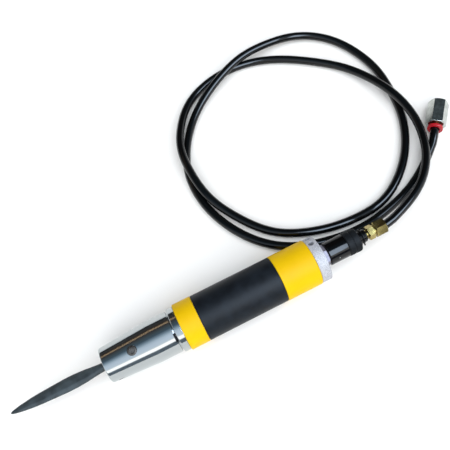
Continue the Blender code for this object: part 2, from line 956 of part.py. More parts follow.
# Inlet: screen, brass adapter with a hose spigot, and the nut that clamps the hose
filter_front = neck_end - inlet_depth + 0.2
filter_length = 1.2
turned(
    "inlet_filter",
    [
        (filter_front, 0),
        (filter_front, inlet_bore - 0.1),
        (filter_front + filter_length, inlet_bore - 0.1),
        (filter_front + filter_length, 0),
    ],
    steel,
)
thread_start = filter_front + filter_length + 0.2
adapter_bore = 1.5
barb_radius = 2.4
thread_radius = inlet_bore - 0.1
nut_thread_radius = adapter_flats / 2 - 0.7
adapter = hex_bar(
    "inlet_adapter",
    adapter_front,
    adapter_rear,
    adapter_flats,
    brass,
    bore_through(adapter_front, adapter_rear, adapter_bore),
)
stem = turned(
    "adapter_stem",
    [
        (thread_start, adapter_bore),
        (thread_start, thread_radius),
        (adapter_front + 0.5, thread_radius),
        (adapter_front + 0.5, adapter_bore + 0.8),
        (adapter_rear - 0.5, adapter_bore + 0.8),
        (adapter_rear - 0.5, nut_thread_radius),
        (hose_nut_front + 2.6, nut_thread_radius),
        (hose_nut_front + 2.6, barb_radius),
        (hose_start - ring_gap, barb_radius),
        (hose_start - ring_gap, adapter_bore),
    ],
    brass,
)
stem.hide_render = True
stem.display_type = "WIRE"
join = adapter.modifiers.new("stem", "BOOLEAN")
join.operation = "UNION"
join.solver = "EXACT"
join.object = stem

hex_bar(
    "hose_nut",
    hose_nut_front,
    hose_nut_rear,
    hose_nut_flats,
    brass,
    [
        (hose_nut_front - 1, 0),
        (hose_nut_front - 1, nut_thread_radius + slip_fit),
        (hose_nut_front + 3.2, nut_thread_radius + slip_fit),
        (hose_nut_front + 3.2, hose_radius + ring_gap),
        (hose_nut_rear + 1, hose_radius + ring_gap),
        (hose_nut_rear + 1, 0),
    ],
)

# Hose route in metres from the nut's rear end: distance along and across, and height of the centreline
lying = hose_radius * MM + 0.0002
hose_route = (
    (0.020, 0.005, 0.0186),
    (0.051, 0.020, 0.0150),
    (0.073, 0.042, 0.0132),
    (0.085, 0.067, 0.0116),
    (0.090, 0.094, 0.0115),
    (0.085, 0.126, 0.0129),
    (0.072, 0.164, 0.0065),
    (0.056, 0.187, lying),
    (0.006, 0.225, lying),
    (-0.044, 0.236, lying),
    (-0.093, 0.219, 0.0060),
    (-0.122, 0.177, 0.0120),
    (-0.127, 0.155, 0.0131),
    (-0.127, 0.139, 0.0127),
    (-0.125, 0.111, 0.0106),
    (-0.114, 0.087, 0.0050),
    (-0.084, 0.045, lying),
    (-0.039, 0.026, lying),
    (-0.021, 0.024, lying),
    (0.018, 0.0255, lying),
    (0.058, 0.054, lying),
    (0.083, 0.095, lying),
    (0.090, 0.132, lying),
    (0.092, 0.164, lying),
    (0.075, 0.212, 0.0044),
    (0.040, 0.239, 0.0065),
    (-0.011, 0.240, 0.0123),
    (-0.035, 0.234, 0.0130),
    (-0.074, 0.216, 0.0085),
    (-0.106, 0.189, lying),
    (-0.129, 0.145, lying),
    (-0.128, 0.096, lying),
    (-0.108, 0.053, lying),
    (-0.080, 0.027, lying),
    (-0.043, 0.015, lying),
    (-0.020, 0.0125, lying),
    (0.000, 0.013, lying),
    (0.039, 0.023, lying),
    (0.058, 0.032, lying),
    (0.074, 0.043, 0.0043),
    (0.086, 0.0525, 0.0058),
)

# Push-in coupling at the free end of the hose
coupling_turn = Matrix.Rotation(math.radians(coupling_angle), 4, "Z")
coupling_height = coupling_flats / 2
coupling_spot = Vector(
    (
        (hose_nut_rear + tool_shift + coupling_place[0]) * MM,
        coupling_place[1] * MM,
        coupling_height * MM,
    )
)
on_coupling = Matrix.Translation(coupling_spot) @ coupling_turn


def even_run(points, step):
    """The same line with its points at an even step."""
    lengths = [0.0]
    for near, far in zip(points, points[1:]):
        lengths.append(lengths[-1] + (far - near).length)
    count = max(2, round(lengths[-1] / step))
    run = []
    at = 0
    for i in range(count + 1):
        wanted = lengths[-1] * i / count
        while at < len(points) - 2 and lengths[at + 1] < wanted:
            at += 1
        share = (wanted - lengths[at]) / (lengths[at + 1] - lengths[at])
        run.append(points[at].lerp(points[at + 1], share))
    return run


def relaxed(points, passes, held):
    """The line with its small wavers averaged out, as a stiff hose does; its ends stay put."""
    for _ in range(passes):
        middle = [
            (before + 2 * here + after) / 4
            for before, here, after in zip(points, points[1:], points[2:])
        ]
        kept_end = len(points) - held
        points = points[:held] + middle[held - 1 : kept_end - 1] + points[kept_end:]
    return points


def smooth_run(points, step):
    """Points at an even step along a Catmull-Rom curve through the given ones, relaxed."""
    dense = []
    ends = [2 * points[0] - points[1], *points, 2 * points[-1] - points[-2]]
    for before, start, end, after in zip(ends, ends[1:], ends[2:], ends[3:]):
        for i in range(16):
            t = i / 16
            dense.append(
                0.5
                * (
                    2 * start
                    + (end - before) * t
                    + (2 * before - 5 * start + 4 * end - after) * t * t
                    + (3 * start - 3 * end + after - before) * t * t * t
                )
            )
    dense.append(points[-1])
    return even_run(relaxed(even_run(dense, relax_step), relax_passes, relax_held), step)


relax_step = 0.004
relax_passes = 24
relax_held = 3
exit_spot = Vector(((hose_nut_rear + tool_shift) * MM, 0, 0))
into_nut = Vector(((hose_start + tool_shift) * MM, 0, axis_height * MM))
hose_end_depth = 12.0
hose_straight = 8.0
points = [exit_spot + Vector((0.0015, 0, axis_height * MM))]
for x, y, z in hose_route:
    points.append(exit_spot + Vector((x, y, z)))
points.append(on_coupling @ Vector((-hose_straight * MM, 0, -0.4 * MM)))
data = bpy.data.curves.new("air_hose", "CURVE")
data.dimensions = "3D"
data.bevel_depth = hose_radius * MM
data.bevel_resolution = 2
data.use_fill_caps = True
data.render_resolution_u = 0
line = data.splines.new("POLY")
run = smooth_run(points, 5.2 * hose_radius * MM)
for point in run:
    point.z = max(point.z, lying)
run.insert(0, into_nut)
run.append(on_coupling @ Vector((-hose_straight / 2 * MM, 0, 0)))
run.append(on_coupling @ Vector((hose_end_depth * MM, 0, 0)))
line.points.add(len(run) - 1)
for i, point in enumerate(run):
    line.points[i].co = (*point, 1)
hose = bpy.data.objects.new("air_hose", data)
bpy.context.collection.objects.link(hose)
data.materials.append(black_gloss)

half = release_thickness / 2
turned(
    "release_ring",
    tube_outline(-half, half, hose_radius + ring_gap, release_radius, 0.4),
    red_plastic,
    place=on_coupling,
)
collet_front = half + ring_gap
collet_length = 6.0
collet_outer = hose_radius + ring_gap + 1.0
turned(
    "connector_collet",
    tube_outline(collet_front, collet_front + collet_length, hose_radius + ring_gap, collet_outer),
    brass,
    place=on_coupling,
)
coupling_front = half + coupling_gap
coupling_rear = coupling_front + coupling_length
pocket_radius = collet_outer + ring_gap
pocket_end = hose_end_depth + 0.3
coupling_seal_cord = 0.55
o_ring(
    "connector_seal",
    collet_front + collet_length + release_travel + coupling_seal_cord + 0.3,
    hose_radius + coupling_seal_cord + 0.1,
    coupling_seal_cord,
    place=on_coupling,
)
socket_floor = coupling_rear - coupling_socket_depth
hex_bar(
    "connector_body",
    coupling_front,
    coupling_rear,
    coupling_flats,
    steel,
    [
        (coupling_front - 1, 0),
        (coupling_front - 1, pocket_radius),
        (pocket_end, pocket_radius),
        (pocket_end, air_bore),
        (socket_floor, air_bore),
        (socket_floor, coupling_socket_radius),
        (coupling_rear + 1, coupling_socket_radius),
        (coupling_rear + 1, 0),
    ],
    on_coupling,
    0.0,
)
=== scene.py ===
import math

import bmesh
import bpy
from mathutils import Matrix, Vector


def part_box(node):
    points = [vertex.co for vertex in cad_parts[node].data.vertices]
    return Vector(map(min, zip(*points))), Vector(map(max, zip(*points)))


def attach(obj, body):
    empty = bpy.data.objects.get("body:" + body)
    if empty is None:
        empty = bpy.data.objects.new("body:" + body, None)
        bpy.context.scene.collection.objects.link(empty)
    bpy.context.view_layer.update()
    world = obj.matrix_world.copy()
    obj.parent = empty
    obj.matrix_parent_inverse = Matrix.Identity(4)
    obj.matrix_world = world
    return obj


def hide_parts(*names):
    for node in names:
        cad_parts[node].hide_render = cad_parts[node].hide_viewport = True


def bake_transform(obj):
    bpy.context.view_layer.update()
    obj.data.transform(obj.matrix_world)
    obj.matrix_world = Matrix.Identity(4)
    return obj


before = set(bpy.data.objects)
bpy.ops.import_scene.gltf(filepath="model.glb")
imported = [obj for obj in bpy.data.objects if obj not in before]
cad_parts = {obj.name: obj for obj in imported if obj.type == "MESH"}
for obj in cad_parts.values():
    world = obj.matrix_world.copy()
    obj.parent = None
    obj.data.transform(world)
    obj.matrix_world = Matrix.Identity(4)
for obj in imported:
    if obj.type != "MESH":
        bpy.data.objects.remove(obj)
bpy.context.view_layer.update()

mm = 0.001
print("frame loaded,", len(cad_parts), "nodes")


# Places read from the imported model

def span(node):
    # a node's low and high corners
    low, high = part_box(node)
    return Vector(low), Vector(high)


def ends(node):
    low, high = span(node)
    return low.x, high.x


def reach(node):
    # half the height of a piece on the tool's axis, which is its radius
    low, high = span(node)
    return (high.z - low.z) / 2


gripLow, gripHigh = span("grip_sleeve")
axisHeight = (gripLow.z + gripHigh.z) / 2
hoseExit = Vector((ends("hose_nut")[1], 0, axisHeight))


def clockwise(angle):
    # unit vector off the tool's axis, counted in degrees from the top towards -Y
    turn = math.radians(angle)
    return Vector((0, -math.sin(turn), math.cos(turn)))


def addObject(name, data):
    made = bpy.data.objects.new(name, data)
    bpy.context.scene.collection.objects.link(made)
    return made


def facing(angle):
    # turns +Z to point off the axis at that angle
    return clockwise(angle).to_track_quat("Z", "X").to_matrix().to_4x4()


# Camera

view = {
    "place": (0.00475, -0.1587, 0.5100),
    "aim": (0.05536, 0.0773, 0.0),
    "roll": -15.2,
    "lens": 48,
}


def setCamera():
    lens = bpy.data.cameras.new("studioCamera")
    lens.lens = view["lens"]
    lens.sensor_width = 36
    lens.clip_start = 0.01
    camera = addObject("studioCamera", lens)
    ahead = Vector(view["aim"]) - Vector(view["place"])
    toward = ahead.to_track_quat("-Z", "Y").to_matrix().to_4x4()
    roll = Matrix.Rotation(math.radians(view["roll"]), 4, "Z")
    camera.matrix_world = Matrix.Translation(view["place"]) @ toward @ roll
    bpy.context.scene.camera = camera


setCamera()
print("camera set")


# Materials

def fromHex(text):
    # sRGB hex to the linear values that the shaders take
    parts = [int(text[i:i + 2], 16) / 255 for i in (1, 3, 5)]
    linear = [p / 12.92 if p <= 0.04045 else ((p + 0.055) / 1.055) ** 2.4 for p in parts]
    return (*linear, 1.0)


def addNode(tree, kind, settings=None, inputs=None, stops=None):
    # one node: its settings, its inputs as values or as links from other nodes, and a ramp's (place, hex) stops
    node = tree.nodes.new(kind)
    for name, value in (settings or {}).items():
        setattr(node, name, value)
    for name, value in (inputs or {}).items():
        if isinstance(value, bpy.types.NodeSocket):
            tree.links.new(value, node.inputs[name])
        else:
            node.inputs[name].default_value = value
    if stops:
        points = node.color_ramp.elements
        points[0].position, points[0].color = stops[0][0], fromHex(stops[0][1])
        points[1].position, points[1].color = stops[-1][0], fromHex(stops[-1][1])
        for place, colour in stops[1:-1]:
            points.new(place).color = fromHex(colour)
    return node


def startMaterial(name, colour, metallic, roughness, ior=None):
    # a new material with its shader's plain values, and the object's own coordinates in metres
    material = bpy.data.materials.new(name)
    material.use_nodes = True
    material.diffuse_color = fromHex(colour)
    tree = material.node_tree
    shader = tree.nodes["Principled BSDF"]
    shader.inputs["Base Color"].default_value = fromHex(colour)
    shader.inputs["Metallic"].default_value = metallic
    shader.inputs["Roughness"].default_value = roughness
    if ior:
        shader.inputs["IOR"].default_value = ior
    place = addNode(tree, "ShaderNodeTexCoord").outputs["Object"]
    return material, tree, shader, place


def finish(tree, shader, drift, relief, tint=None, shine=None, shineFrom=0.3):
    # drift is the noise that moves colour and shine: its vector, size in mm and detail.
    # relief is the noise that raises the surface, with its depth in mm and strength as well.
    # tint holds a ramp's stops, and shine the roughness at the low and high end of the drift.
    vector, size, detail = drift
    cloud = addNode(tree, "ShaderNodeTexNoise", inputs={
        "Vector": vector, "Scale": 1 / (size * mm), "Detail": detail})
    if tint:
        ramp = addNode(tree, "ShaderNodeValToRGB", inputs={"Fac": cloud.outputs["Fac"]}, stops=tint)
        tree.links.new(ramp.outputs["Color"], shader.inputs["Base Color"])
    if shine:
        dull = addNode(tree, "ShaderNodeMapRange", inputs={
            "Value": cloud.outputs["Fac"], "From Min": shineFrom, "From Max": 0.7,
            "To Min": shine[0], "To Max": shine[1]})
        tree.links.new(dull.outputs["Result"], shader.inputs["Roughness"])
    vector, size, detail, depth, strength = relief
    grain = addNode(tree, "ShaderNodeTexNoise", inputs={
        "Vector": vector, "Scale": 1 / (size * mm), "Detail": detail})
    bump = addNode(tree, "ShaderNodeBump", inputs={
        "Height": grain.outputs["Fac"], "Distance": depth * mm, "Strength": strength})
    tree.links.new(bump.outputs["Normal"], shader.inputs["Normal"])


def makeChrome():
    # hard chrome plate over polished steel: a mirror, a little cold, with faint polishing lines round it
    look = {
        "colour": "#b1b6b7",
        "roughness": 0.06,
        "lineMm": 0.7,
        "lineDepthMm": 0.0016,
        "smudgeMm": 14,
    }
    material, tree, shader, place = startMaterial("polishedChromePlate", look["colour"], 1.0, look["roughness"])
    lathe = addNode(tree, "ShaderNodeMapping", inputs={"Vector": place, "Scale": (1, 0.02, 0.02)})
    # handling leaves wide, barely duller patches
    lines = (lathe.outputs["Vector"], look["lineMm"], 3.0, look["lineDepthMm"], 0.5)
    shine = (look["roughness"] * 0.7, look["roughness"] * 2.0)
    finish(tree, shader, (place, look["smudgeMm"], 4.0), lines, None, shine, shineFrom=0.35)
    return material


def makeYellow():
    # stoved enamel sprayed on turned aluminium: strong flat yellow, satin, with a slight orange-peel ripple
    look = {
        "light": "#dbb106",
        "deep": "#d5aa03",
        "roughness": 0.44,
        # lower than a paint's usual 1.5, which matches its weak sheen
        "ior": 1.17,
        "patchMm": 22,
        "peelMm": 1.6,
        "peelDepthMm": 0.012,
    }
    material, tree, shader, place = startMaterial(
        "yellowSatinEnamel", look["light"], 0.0, look["roughness"], look["ior"])
    peel = (place, look["peelMm"], 1.0, look["peelDepthMm"], 0.4)
    tint = [(0.3, look["deep"]), (0.7, look["light"])]
    shine = (look["roughness"] * 0.9, look["roughness"] * 1.15)
    finish(tree, shader, (place, look["patchMm"], 2.0), peel, tint, shine)
    return material


def makeGripRubber():
    # moulded nitrile rubber: blue-black, satin, with the fine spark-eroded grain of its mould
    look = {
        "dark": "#0d1116",
        "light": "#161c23",
        "roughness": 0.44,
        # lower than rubber's usual 1.5: a worn, dry surface
        "ior": 1.24,
        "cloudMm": 11,
        "grainMm": 0.6,
        "grainDepthMm": 0.03,
    }
    material, tree, shader, place = startMaterial(
        "satinGripRubber", look["dark"], 0.0, look["roughness"], look["ior"])
    # grain drawn at 0.6 mm, coarser than the real 0.1 mm, so that it shows
    grain = (place, look["grainMm"], 3.0, look["grainDepthMm"], 0.4)
    tint = [(0.35, look["dark"]), (0.7, look["light"])]
    shine = (look["roughness"] * 0.92, look["roughness"] * 1.12)
    finish(tree, shader, (place, look["cloudMm"], 5.0), grain, tint, shine)
    return material


def makeAluminium():
    # turned aluminium, bead blasted: pale and dry, a sparkle of fine pits, no mirror
    look = {
        "light": "#bcbcc1",
        "dark": "#85868c",
        # blasting scatters nearly all of the mirror light
        "metallic": 0.2,
        "roughness": 0.6,
        "gritMm": 0.6,
        "gritDepthMm": 0.1,
    }
    material, tree, shader, place = startMaterial(
        "beadBlastedAluminium", look["light"], look["metallic"], look["roughness"])
    # pits drawn at 0.6 mm, coarser than the real 0.2 mm, so that they show
    grit = (place, look["gritMm"], 4.0)
    tint = [(0.35, look["dark"]), (0.6, look["light"])]
    shine = (look["roughness"] * 0.85, look["roughness"] * 1.2)
    finish(tree, shader, grit, (*grit, look["gritDepthMm"], 0.6), tint, shine)
    return material


def makeMetal(
    name, light, dark, roughness, lineMm, depthMm, stretch=(1, 0.04, 0.04), stainMm=4.0, metallic=1.0, skin=0.5,
):
    # machined metal: fine lines left by the tool, and soft stains that change its colour and shine;
    # skin is how much an oxide or oil film reflects
    material, tree, shader, place = startMaterial(name, light, metallic, roughness)
    shader.inputs["Specular IOR Level"].default_value = skin
    lathe = addNode(tree, "ShaderNodeMapping", inputs={"Vector": place, "Scale": stretch})
    lines = (lathe.outputs["Vector"], lineMm, 3.0, depthMm, 0.5)
    tint = [(0.35, dark), (0.65, light)]
    finish(tree, shader, (place, stainMm, 4.0), lines, tint, (roughness * 0.75, roughness * 1.35))
    return material


def makeBlackGloss(name, colour, roughness, ior, rippleMm, rippleDepthMm):
    # deep black under a clear skin: crisp lights, slightly wavy
    material, tree, shader, place = startMaterial(name, colour, 0.0, roughness, ior)
    wave = (place, rippleMm, 2.0)
    finish(tree, shader, wave, (*wave, rippleDepthMm, 0.5), None, (roughness * 0.8, roughness * 1.5))
    return material


def makeMatte(name, light, dark, roughness, grainMm=0.4, depthMm=0.03, ior=1.5):
    # moulded rubber, urethane, plastic or felt, with the grain of its mould or fibre
    material, tree, shader, place = startMaterial(name, light, 0.0, roughness, ior)
    grain = (place, grainMm, 4.0)
    finish(tree, shader, grain, (*grain, depthMm, 0.5), [(0.3, dark), (0.7, light)])
    return material


chrome = makeChrome()
yellow = makeYellow()
gripRubber = makeGripRubber()
aluminium = makeAluminium()
turnedSteel = makeMetal("turnedSteel", "#b9bcc0", "#97999e", 0.26, 0.4, 0.006)
# nickel plate over drawn hexagon bar: bright, lines along the bar
nickelSteel = makeMetal("nickelPlatedDrawnSteel", "#c6c9c5", "#a3a7a2", 0.13, 0.5, 0.004, (0.03, 1, 1))
# zinc plate dulled by handling, a trace of lilac
boltSteel = makeMetal("zincPlatedSteel", "#8b8997", "#6f6d7a", 0.42, 0.45, 0.006, metallic=0.35)
# set screws, plain steel oiled after hardening: grey with brown corners
screwSteel = makeMetal("oiledScrewSteel", "#6d6863", "#3f3a36", 0.28, 0.4, 0.01, metallic=0.8)
# spring steel, hardened and oil blacked: slate grey, soft sheen, grinding lines along the leaf
bladeSteel = makeMetal("oilBlackedSpringSteel", "#3b4448", "#2c3336", 0.5, 0.6, 0.05, (0.05, 1, 1), 7.0, 0.35)
# black oxide on turned steel: nearly black, thin glints; also drawn on the nose's notch faces as painted shade
blackOxideAndNotchShade = makeMetal("blackOxideSteelAndNotchShade", "#1b1d20", "#0c0d0f", 0.32, 0.4, 0.006, (1, 0.04, 0.04), 3.0, 0.8)
# knurled steel, black oxide: dry and dark, hardly a glint
knurlBlack = makeMetal("blackOxideKnurl", "#14181c", "#090a0c", 0.55, 0.7, 0.08, (1, 1, 1), 1.2, 0.15, 0.15)
# free-cutting brass as it leaves the lathe: greenish gold, fine rings
brass = makeMetal("turnedBrass", "#ab9b62", "#8f7f4e", 0.22, 0.35, 0.003, stainMm=9.0)
bronze = makeMetal("oiledSinteredBronze", "#a97b4c", "#7c5831", 0.4, 0.6, 0.03, (1, 1, 1))
copper = makeMetal("copperCollet", "#c07f58", "#9a6242", 0.2, 0.35, 0.006)
# black lacquer over turned aluminium: deep and wet-looking
valveBlack = makeBlackGloss("blackLacqueredAluminium", "#040405", 0.06, 1.38, 2.2, 0.002)
# extruded polyurethane: glossy, faintly wavy along its length
hoseBlack = makeBlackGloss("blackPolyurethaneHose", "#040506", 0.07, 1.4, 3.0, 0.006)
sealRubber = makeMatte("nitrileSeal", "#1a1b1d", "#0e0f10", 0.55)
urethane = makeMatte("amberUrethane", "#b98b3a", "#8e6523", 0.4)
felt = makeMatte("pressedFelt", "#c9c4b6", "#8f8a7c", 0.95, 0.6, 0.12)
redPlastic = makeMatte("redAcetal", "#b3121f", "#9c0e1a", 0.25, 0.8, 0.006, 1.48)
markWhite = makeMatte("whiteMarkingPaint", "#b9bdbb", "#9fa3a1", 0.4)
print("materials made")


# Mesh helpers

onAxis = Matrix.Translation((0, 0, axisHeight))


def filleted(outline):
    # outline of (x, radius, fillet) corners turned into points, each corner rounded by its fillet
    steps, longestShare = 5, 0.45
    points = []
    count = len(outline)
    for i, (x, r, fillet) in enumerate(outline):
        here = Vector((x, r))
        before = Vector(outline[i - 1][:2])
        after = Vector(outline[(i + 1) % count][:2])
        toBefore, toAfter = before - here, after - here
        if fillet <= 0 or toBefore.length == 0 or toAfter.length == 0:
            points.append(here)
            continue
        cut = min(fillet, toBefore.length * longestShare, toAfter.length * longestShare)
        start, end = here + toBefore.normalized() * cut, here + toAfter.normalized() * cut
        for k in range(steps + 1):
            t = k / steps
            points.append(start * (1 - t) ** 2 + here * 2 * t * (1 - t) + end * t * t)
    return points


def showPiece(name, mesh, material, body, nodes=(), place=onAxis, sharp=40):
    bmesh.ops.remove_doubles(mesh, verts=mesh.verts, dist=1e-7)
    bmesh.ops.recalc_face_normals(mesh, faces=mesh.faces)
    data = bpy.data.meshes.new(name)
    mesh.to_mesh(data)
    mesh.free()
    data.shade_smooth()
    data.set_sharp_from_angle(angle=math.radians(sharp))
    if material:
        data.materials.append(material)
    piece = addObject(name, data)
    piece.matrix_world = place
    if body:
        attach(piece, body)
        for node in nodes:
            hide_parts(node)
    return piece


def revolved(points, axis, sides, closed):
    # mesh made by turning a line of points round an axis through the origin
    mesh = bmesh.new()
    verts = [mesh.verts.new(point) for point in points]
    for first, second in zip(verts, verts[1:]):
        mesh.edges.new((first, second))
    if closed:
        mesh.edges.new((verts[-1], verts[0]))
    bmesh.ops.spin(
        mesh,
        geom=[*mesh.verts, *mesh.edges],
        cent=(0, 0, 0),
        axis=axis,
        angle=2 * math.pi,
        steps=sides,
        use_merge=True,
    )
    return mesh


def spun(outline, sides, closed=True):
    # turned about the tool's axis from points (x, radius)
    return revolved([(x, 0, r) for x, r in outline], (1, 0, 0), sides, closed)


def bridged(mesh, rings):
    # faces between each ring of points and the next
    for near, far in zip(rings, rings[1:]):
        count = len(near)
        for k in range(count):
            j = (k + 1) % count
            mesh.faces.new((near[k], near[j], far[j], far[k]))


def capped(mesh, rings):
    mesh.faces.new(rings[0])
    mesh.faces.new(rings[-1])


def evenShading(piece, sharp=35):
    # the cuts are made final and their edges marked, so flat and turned faces keep their own normals up to them
    cuts = [change.object for change in piece.modifiers if change.type == "BOOLEAN"]
    if cuts:
        ready = piece.evaluated_get(bpy.context.evaluated_depsgraph_get())
        piece.data = bpy.data.meshes.new_from_object(ready)
        piece.data.set_sharp_from_angle(angle=math.radians(sharp))
        piece.modifiers.clear()
    for cut in cuts:
        bpy.data.objects.remove(cut)
    change = piece.modifiers.new("evenShading", "WEIGHTED_NORMAL")
    change.keep_sharp = True
    change.weight = 80
    return piece


def turned(name, outline, material, body, nodes, sides=144, place=onAxis):
    # the caller cuts it and then evens its shading
    return showPiece(name, spun(filleted(outline), sides), material, body, nodes, place)


def cutBy(piece, mesh, place=onAxis, inside=None):
    # takes a shape away from a piece; the faces it leaves can take another material, which the nose's notches use
    # for painted shade
    shape = showPiece(piece.name + "Cut" + str(len(piece.modifiers) + 1), mesh, inside, None, place=place)
    shape.hide_render = True
    shape.display_type = "WIRE"
    change = piece.modifiers.new("cut", "BOOLEAN")
    change.operation = "DIFFERENCE"
    change.solver = "EXACT"
    change.material_mode = "TRANSFER" if inside else "INDEX"
    change.object = shape


def drilled(x, angle, radius, start, end, flare=0.0, flareAt=0.0, sides=40):
    # a drill shape across the axis; flare widens it past flareAt, for a broken edge
    outline = [(0, start), (radius, start)]
    wide = radius + flare * 2.2
    if flare > 0:
        outline += [(radius, flareAt - flare), (wide, flareAt + flare * 1.2)]
    outline += [(wide, end), (0, end)]
    mesh = revolved([(r, 0, z) for r, z in outline], (0, 0, 1), sides, False)
    bmesh.ops.transform(mesh, matrix=Matrix.Translation((x, 0, 0)) @ facing(angle), verts=mesh.verts)
    return mesh


def slotShape(xFrom, xTo, angle, width, start, end):
    # a straight-sided slot that faces outward
    mesh = bmesh.new()
    out = clockwise(angle)
    across = Vector((1, 0, 0)).cross(out)
    turn = Matrix((Vector((1, 0, 0)), across, out)).transposed().to_4x4()
    size = Matrix.Diagonal((xTo - xFrom, width, end - start, 1))
    middle = Vector(((xFrom + xTo) / 2, 0, 0)) + out * ((start + end) / 2)
    bmesh.ops.create_cube(mesh, size=1, matrix=Matrix.Translation(middle) @ turn @ size)
    return mesh


def hexBar(
    name, x0, x1, flats, boreOutline, material, body, nodes, place=onAxis, cornerAt=0, chamfer=1.0,
):
    # hexagon bar: corners turned back at 30 degrees at both ends, every edge slightly broken
    look = {"lengths": 12, "faceInset": 0.25 * mm, "turnBack": 0.62, "edgeWidth": 0.18 * mm}
    corner = flats / math.sqrt(3)
    angles = [math.radians(90 + cornerAt + 60 * k) for k in range(6)]
    mesh = bmesh.new()
    rings = []
    for i in range(look["lengths"] + 1):
        x = x0 + (x1 - x0) * i / look["lengths"]
        rings.append([mesh.verts.new((x, corner * math.cos(a), corner * math.sin(a))) for a in angles])
    bridged(mesh, rings)
    capped(mesh, rings)
    piece = showPiece(name, mesh, material, body, nodes, place, sharp=25)
    run = (corner - flats / 2) * look["turnBack"] * chamfer
    face, clear, far = flats / 2 - look["faceInset"], corner + 0.05 * mm, corner + 2 * mm
    shell = spun([
        (x0 - 1 * mm, far), (x0 - 1 * mm, face - 0.4 * mm), (x0, face), (x0 + run, clear),
        (x1 - run, clear), (x1, face), (x1 + 1 * mm, face - 0.4 * mm), (x1 + 1 * mm, far),
    ], 96)
    cutBy(piece, shell, place)
    cutBy(piece, spun(boreOutline, 64, closed=False), place)
    edge = piece.modifiers.new("brokenEdges", "BEVEL")
    edge.width = look["edgeWidth"]
    edge.segments = 2
    edge.limit_method = "ANGLE"
    edge.angle_limit = math.radians(24)
    return evenShading(piece)


# Nose: a plated cone with a set screw, a clamp hole and spanner notches at its rear edge

def makeNose():
    nose = {
        "frontRadius": 15.45 * mm,
        "straightLength": 20.4 * mm,
        "frontRound": 1.5 * mm,
        "shoulderRound": 3 * mm,
        "rearRound": 1.0 * mm,
        "mouthRadius": 8.3 * mm,
        "mouthDepth": 2 * mm,
        "boreRadius": 10.0 * mm,
        "bushSeat": 33.2 * mm,
        "springBore": 11.5 * mm,
        "spigotRadius": 15.3 * mm,
        "screwAngles": (13, 193),
        "screwFromFront": 26.5 * mm,
        "screwRadius": 4.15 * mm,
        "clampAngle": 103,
        "clampFromFront": 8.2 * mm,
        "clampRadius": 3.5 * mm,
        "notchAngles": (35, 215),
        "notchWidth": 8 * mm,
        "notchFloor": 15.6 * mm,
        "grooveWidth": 0.9 * mm,
        "grooveDepth": 1.1 * mm,
        "lipLength": 0.7 * mm,
    }
    inside, outside = 7 * mm, 24 * mm
    front, spigotEnd = ends("nose_cone")
    rear = ends("front_collar")[0] - nose["grooveWidth"]
    radius = reach("nose_cone")
    small, spigot, bore = nose["frontRadius"], nose["spigotRadius"], nose["boreRadius"]
    floor, lipEnd = radius - nose["grooveDepth"], rear + nose["lipLength"]
    straight = rear - nose["straightLength"]
    coneSteps, straightSteps = 14, 6
    outline = [(front, small, nose["frontRound"])]
    for i in range(1, coneSteps):
        t = i / coneSteps
        outline.append((front + (straight - front) * t, small + (radius - small) * t, 0))
    outline += [(straight, radius, nose["shoulderRound"])]
    outline += [(straight + (rear - straight) * i / straightSteps, radius, 0) for i in range(1, straightSteps)]
    outline += [
        (rear, radius, nose["rearRound"]), (rear, floor, 0.2 * mm), (lipEnd, floor, 0), (lipEnd, spigot, 0),
        (spigotEnd, spigot, 0.3 * mm), (spigotEnd, nose["springBore"], 0),
        (front + nose["bushSeat"], nose["springBore"], 0), (front + nose["bushSeat"], bore, 0),
        (front + nose["mouthDepth"], bore, 0), (front + nose["mouthDepth"], nose["mouthRadius"], 0),
        (front, nose["mouthRadius"], 0.5 * mm),
    ]
    piece = turned("noseShell", outline, chrome, "housing", ["nose_cone"], sides=180)
    holes = [(nose["screwFromFront"], angle, nose["screwRadius"], 0.08 * mm) for angle in nose["screwAngles"]]
    holes.append((nose["clampFromFront"], nose["clampAngle"], nose["clampRadius"], 0.3 * mm))
    for fromFront, angle, holeRadius, flare in holes:
        skin = small + (radius - small) * fromFront / (straight - front)
        cutBy(piece, drilled(front + fromFront, angle, holeRadius, inside, outside, flare, skin))
    for angle in nose["notchAngles"]:
        notch = slotShape(rear - 1.3 * mm, rear + 1.5 * mm, angle, nose["notchWidth"], nose["notchFloor"], outside)
        # the notch's cut faces are drawn in near-black steel: painted shade in the recess, not the plated nose's
        # own colour
        cutBy(piece, notch, inside=blackOxideAndNotchShade)
    evenShading(piece)


# heights are distances from the tool's axis
guideScrew = {
    "tip": 6.1 * mm,
    "dogTop": 10.4 * mm,
    "top": 16.9 * mm,
    "radius": 4.0 * mm,
    "dogRadius": 2.5 * mm,
    "socket": 4.0 * mm,
}
clampScrew = {
    "tip": 3.5 * mm,
    "dogTop": 4.2 * mm,
    "top": 7.7 * mm,
    "radius": 2.45 * mm,
    "dogRadius": 1.95 * mm,
    "socket": 2.5 * mm,
}


